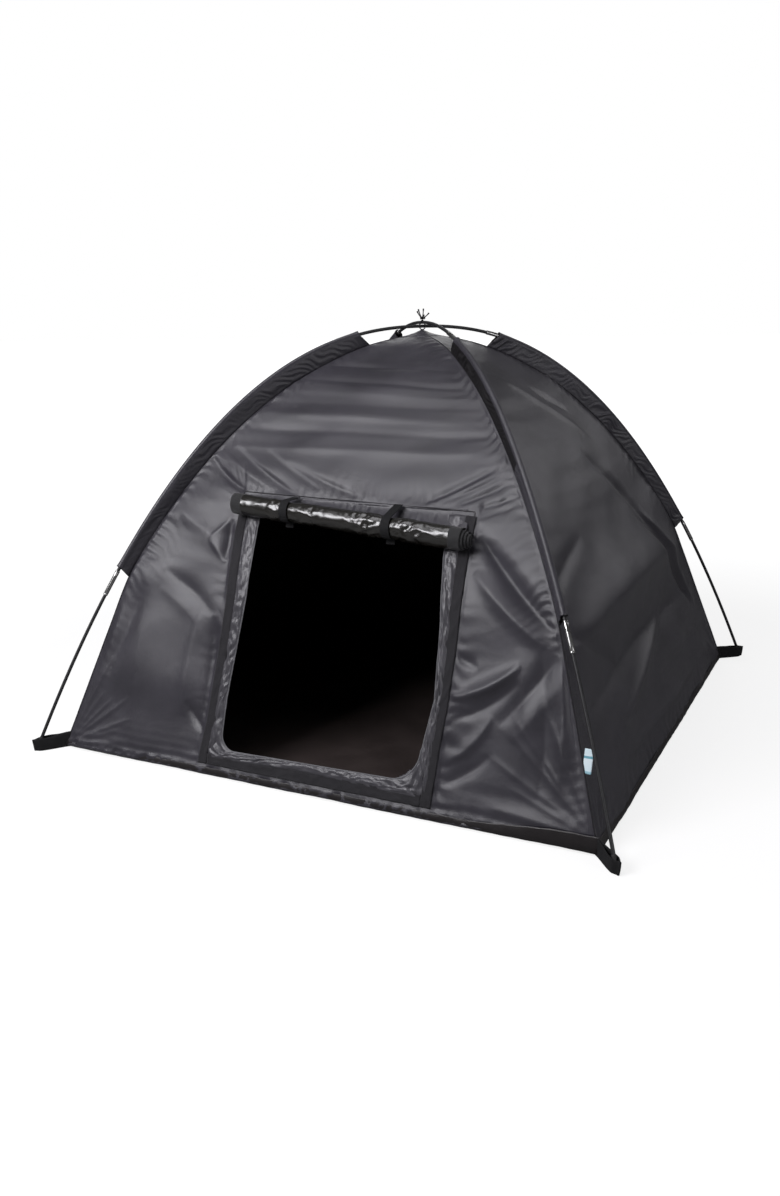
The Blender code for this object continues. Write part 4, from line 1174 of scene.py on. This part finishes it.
def make_door_roll():
    """The door rolled outwards: a spiral of coated cloth hung from its seam by the last turn."""
    outside = ROLL_RADIUS - 0.0006
    turns = (outside - ROLL_CORE) / ROLL_PITCH
    turn = np.arange(int(turns * ROLL_STEPS)) / ROLL_STEPS
    phi = math.radians(8.0) - turn * 2 * math.pi
    base = outside - ROLL_PITCH * turn
    u = np.linspace(0.0, 1.0, ROLL_COLUMNS)
    left = ROLL_LEFT + 0.0015 + 0.0012 * np.minimum(turn, 3.0)
    right = ROLL_RIGHT - 0.001 - 0.0055 * np.clip(4.0 - turn, 0.0, 4.0)
    X = left[:, None] + (right - left)[:, None] * u[None, :]
    outer = np.clip(1.0 - turn, 0.0, 1.0)[:, None] ** 0.5
    waist = np.zeros_like(X)
    rumple = np.full_like(X, 0.34)
    for x in TIE_X:
        waist = waist + 0.0030 * np.exp(-(np.abs(X - x) / 0.016) ** 2)
    for x, reach, much in RUMPLED:
        rumple = rumple + much * np.exp(-((X - x) / reach) ** 2)
    for x in TIE_X:
        rumple = rumple * (1.0 - 0.9 * np.exp(-((X - x) / 0.013) ** 2))
    P = phi[:, None] * ROLL_RADIUS
    slanted = crumple(X * 0.9 + P * 0.5, P * 1.1 - X * 0.35, 0.021, 300)
    slanted = np.clip((slanted - 0.50) / 0.42, 0.0, 1.2) - 0.45
    long_wave = Noise(310)(X * 11.0, P * 20.0) * 0.0016
    R = base[:, None] + outer * (slanted * 0.0040 * rumple + long_wave) - waist * (0.4 + 0.6 * outer)
    R = R + 0.0006 * Noise(320)(X * 22.0, phi[:, None] * 0.7) * (1 - outer)
    cy, cz = roll_centre(X)
    Y, Z = cy + R * np.cos(phi)[:, None], cz + R * np.sin(phi)[:, None]
    # the last turn leaves the roll at its back and runs up to the seam
    seam_y = -wall_frame(wall_t(SEAM_Z))[0] - 0.0012
    flap = np.linspace(0.0, 1.0, 12)[:-1][:, None]
    seam_x = SEAM_LEFT + 0.004 + (SEAM_RIGHT - SEAM_LEFT - 0.018) * u
    Xf = seam_x[None, :] + (X[0] - seam_x)[None, :] * smooth(flap)
    Yf = seam_y + (Y[0] - seam_y)[None, :] * smooth(flap * 0.5 + 0.5 * flap ** 2)
    Zf = SEAM_Z + (Z[0] - SEAM_Z)[None, :] * flap
    gather = np.sin(Xf * 2 * math.pi / 0.017 + 4.0 * Noise(331)(Xf * 12.0, 0.0 * Xf))
    gather = gather * Noise(332)(Xf * 9.0, flap + 0.0 * Xf)
    ripple = 1 + Noise(330)(Xf * 60.0, flap * 2.0 + 0.0 * Xf) + 1.6 * gather
    Yf = Yf - 0.0016 * np.sin(flap * math.pi) * ripple
    X, Y, Z = np.concatenate([Xf, X]), np.concatenate([Yf, Y]), np.concatenate([Zf, Z])
    points = np.stack([X, Y, Z], -1)
    length = run_length(points[:, ROLL_COLUMNS // 2])
    obj = sheet_mesh("cloth_door_roll", points, pair(X, length[:, None]), [COATED, DARK_TAPE, SHELL, SHELL],
                     thickness=0.0007, lining=2)
    middle = face_middles(X)
    matte = (middle < X[:-1, :1] + ROLL_HEM) | (middle > X[:-1, -1:] - ROLL_HEM)
    obj.data.polygons.foreach_set("material_index", matte.ravel().astype(np.int32))
    finish_piece(obj, "door_roll", "door_fabric", "door_roll")


def make_ties():
    """Two straps over the roll, each with a tail below that can be peeled away."""
    seam_y = -wall_frame(wall_t(SEAM_Z))[0] - 0.005
    for side, x in zip(("left", "right"), TIE_X):
        cy, cz = (float(v) for v in roll_centre(np.array(x)))
        centre, seam = np.array([cy, cz]), np.array([seam_y, SEAM_Z])
        radius = ROLL_RADIUS - 0.0012
        away = centre - seam
        base = math.atan2(-away[1], -away[0])
        beside = np.array([-math.sin(base), math.cos(base)])
        root = seam + beside * (FLAP_HALF + TIE_CLEARANCE + TIE_THICKNESS / 2)
        root = root + unit(away) * 0.001
        reach = float(np.linalg.norm(root - centre))
        touch = math.atan2(*(root - centre)[::-1]) + math.acos(radius / reach)
        bend, end = base + math.pi, math.radians(TIE_END_ANGLE)

        def around(a):
            return centre + radius * np.stack([np.cos(a), np.sin(a)], -1)

        slack = 0.0003 / radius
        sewn = np.linspace(root, around(np.array(touch)), 8)[:-1]
        band = np.concatenate([sewn, around(np.linspace(touch, bend - slack, 26))])
        curved = around(np.linspace(bend + slack, end, 16))
        droop = np.linspace(0.0, 1.0, 7)[1:]
        hang = curved[-1] + np.stack([0.0012 * np.sin(3 * droop), -TIE_TAB * droop], -1)
        tail = np.concatenate([curved, hang])
        for part, line, body in (("band", band, "door_roll"), ("tail", tail, f"tie_{side}_tail")):
            line = np.concatenate([np.full((len(line), 1), x), line], 1)
            tilt = np.linspace(0.0, 1.0, len(line)) * (0.0012 if part == "band" else -0.0012)
            line[:, 0] += tilt - tilt[-1 if part == "band" else 0]
            piece = strap(f"tie_{part}_{side}", line, (1.0, 0.0, 0.0), TIE_WIDTH, TIE_THICKNESS, WEBBING)
            finish_piece(piece, body, "webbing", f"tie_{side}_{part}")


LABEL_SHIFT, LABEL_EXTRA = 0.0070, 0.0012    # nearer the ridge and wider than its box in the CAD


def make_label():
    """A woven tag caught in the front right ridge seam."""
    low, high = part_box("care_label")
    u, v = np.linspace(0.0, 1.0, 9), np.linspace(0.0, 1.0, 23)
    U, V = np.meshgrid(u, v, indexing="xy")
    X = low.x - LABEL_SHIFT + (high.x - low.x + LABEL_EXTRA) * U
    Z = low.z + (high.z - low.z) * V
    top, bottom = np.interp(high.z, WALL_Z, WALL_HALF), np.interp(low.z, WALL_Z, WALL_HALF)
    Y = -(bottom + (top - bottom) * V) - 0.0015 * np.sin(U * 2.4 + V * 1.5) * U
    points = np.stack([X, Y, Z], -1)
    cloth = np.stack([U * LABEL_WIDTH, V * LABEL_HEIGHT], -1)
    obj = sheet_mesh("label_tag", points, cloth, [LABEL], thickness=0.0005)
    finish_piece(obj, "tent", "label", "care_label")


# ---------------- build
make_camera()
make_studio()
for number, wall_name in enumerate(WALLS):
    make_wall(number, wall_name)
make_groundsheet()
make_ridge_seams()
make_crown()
make_poles()
for number, (place_name, signs) in enumerate(CORNERS.items()):
    make_sleeve(place_name, signs, signs[0] != signs[1], 300 + 10 * number)
    make_foot_loop(place_name, signs, 700 + 10 * number)
make_facing()
make_tapes()
make_top_seam()
make_door_roll()
make_ties()
make_label()
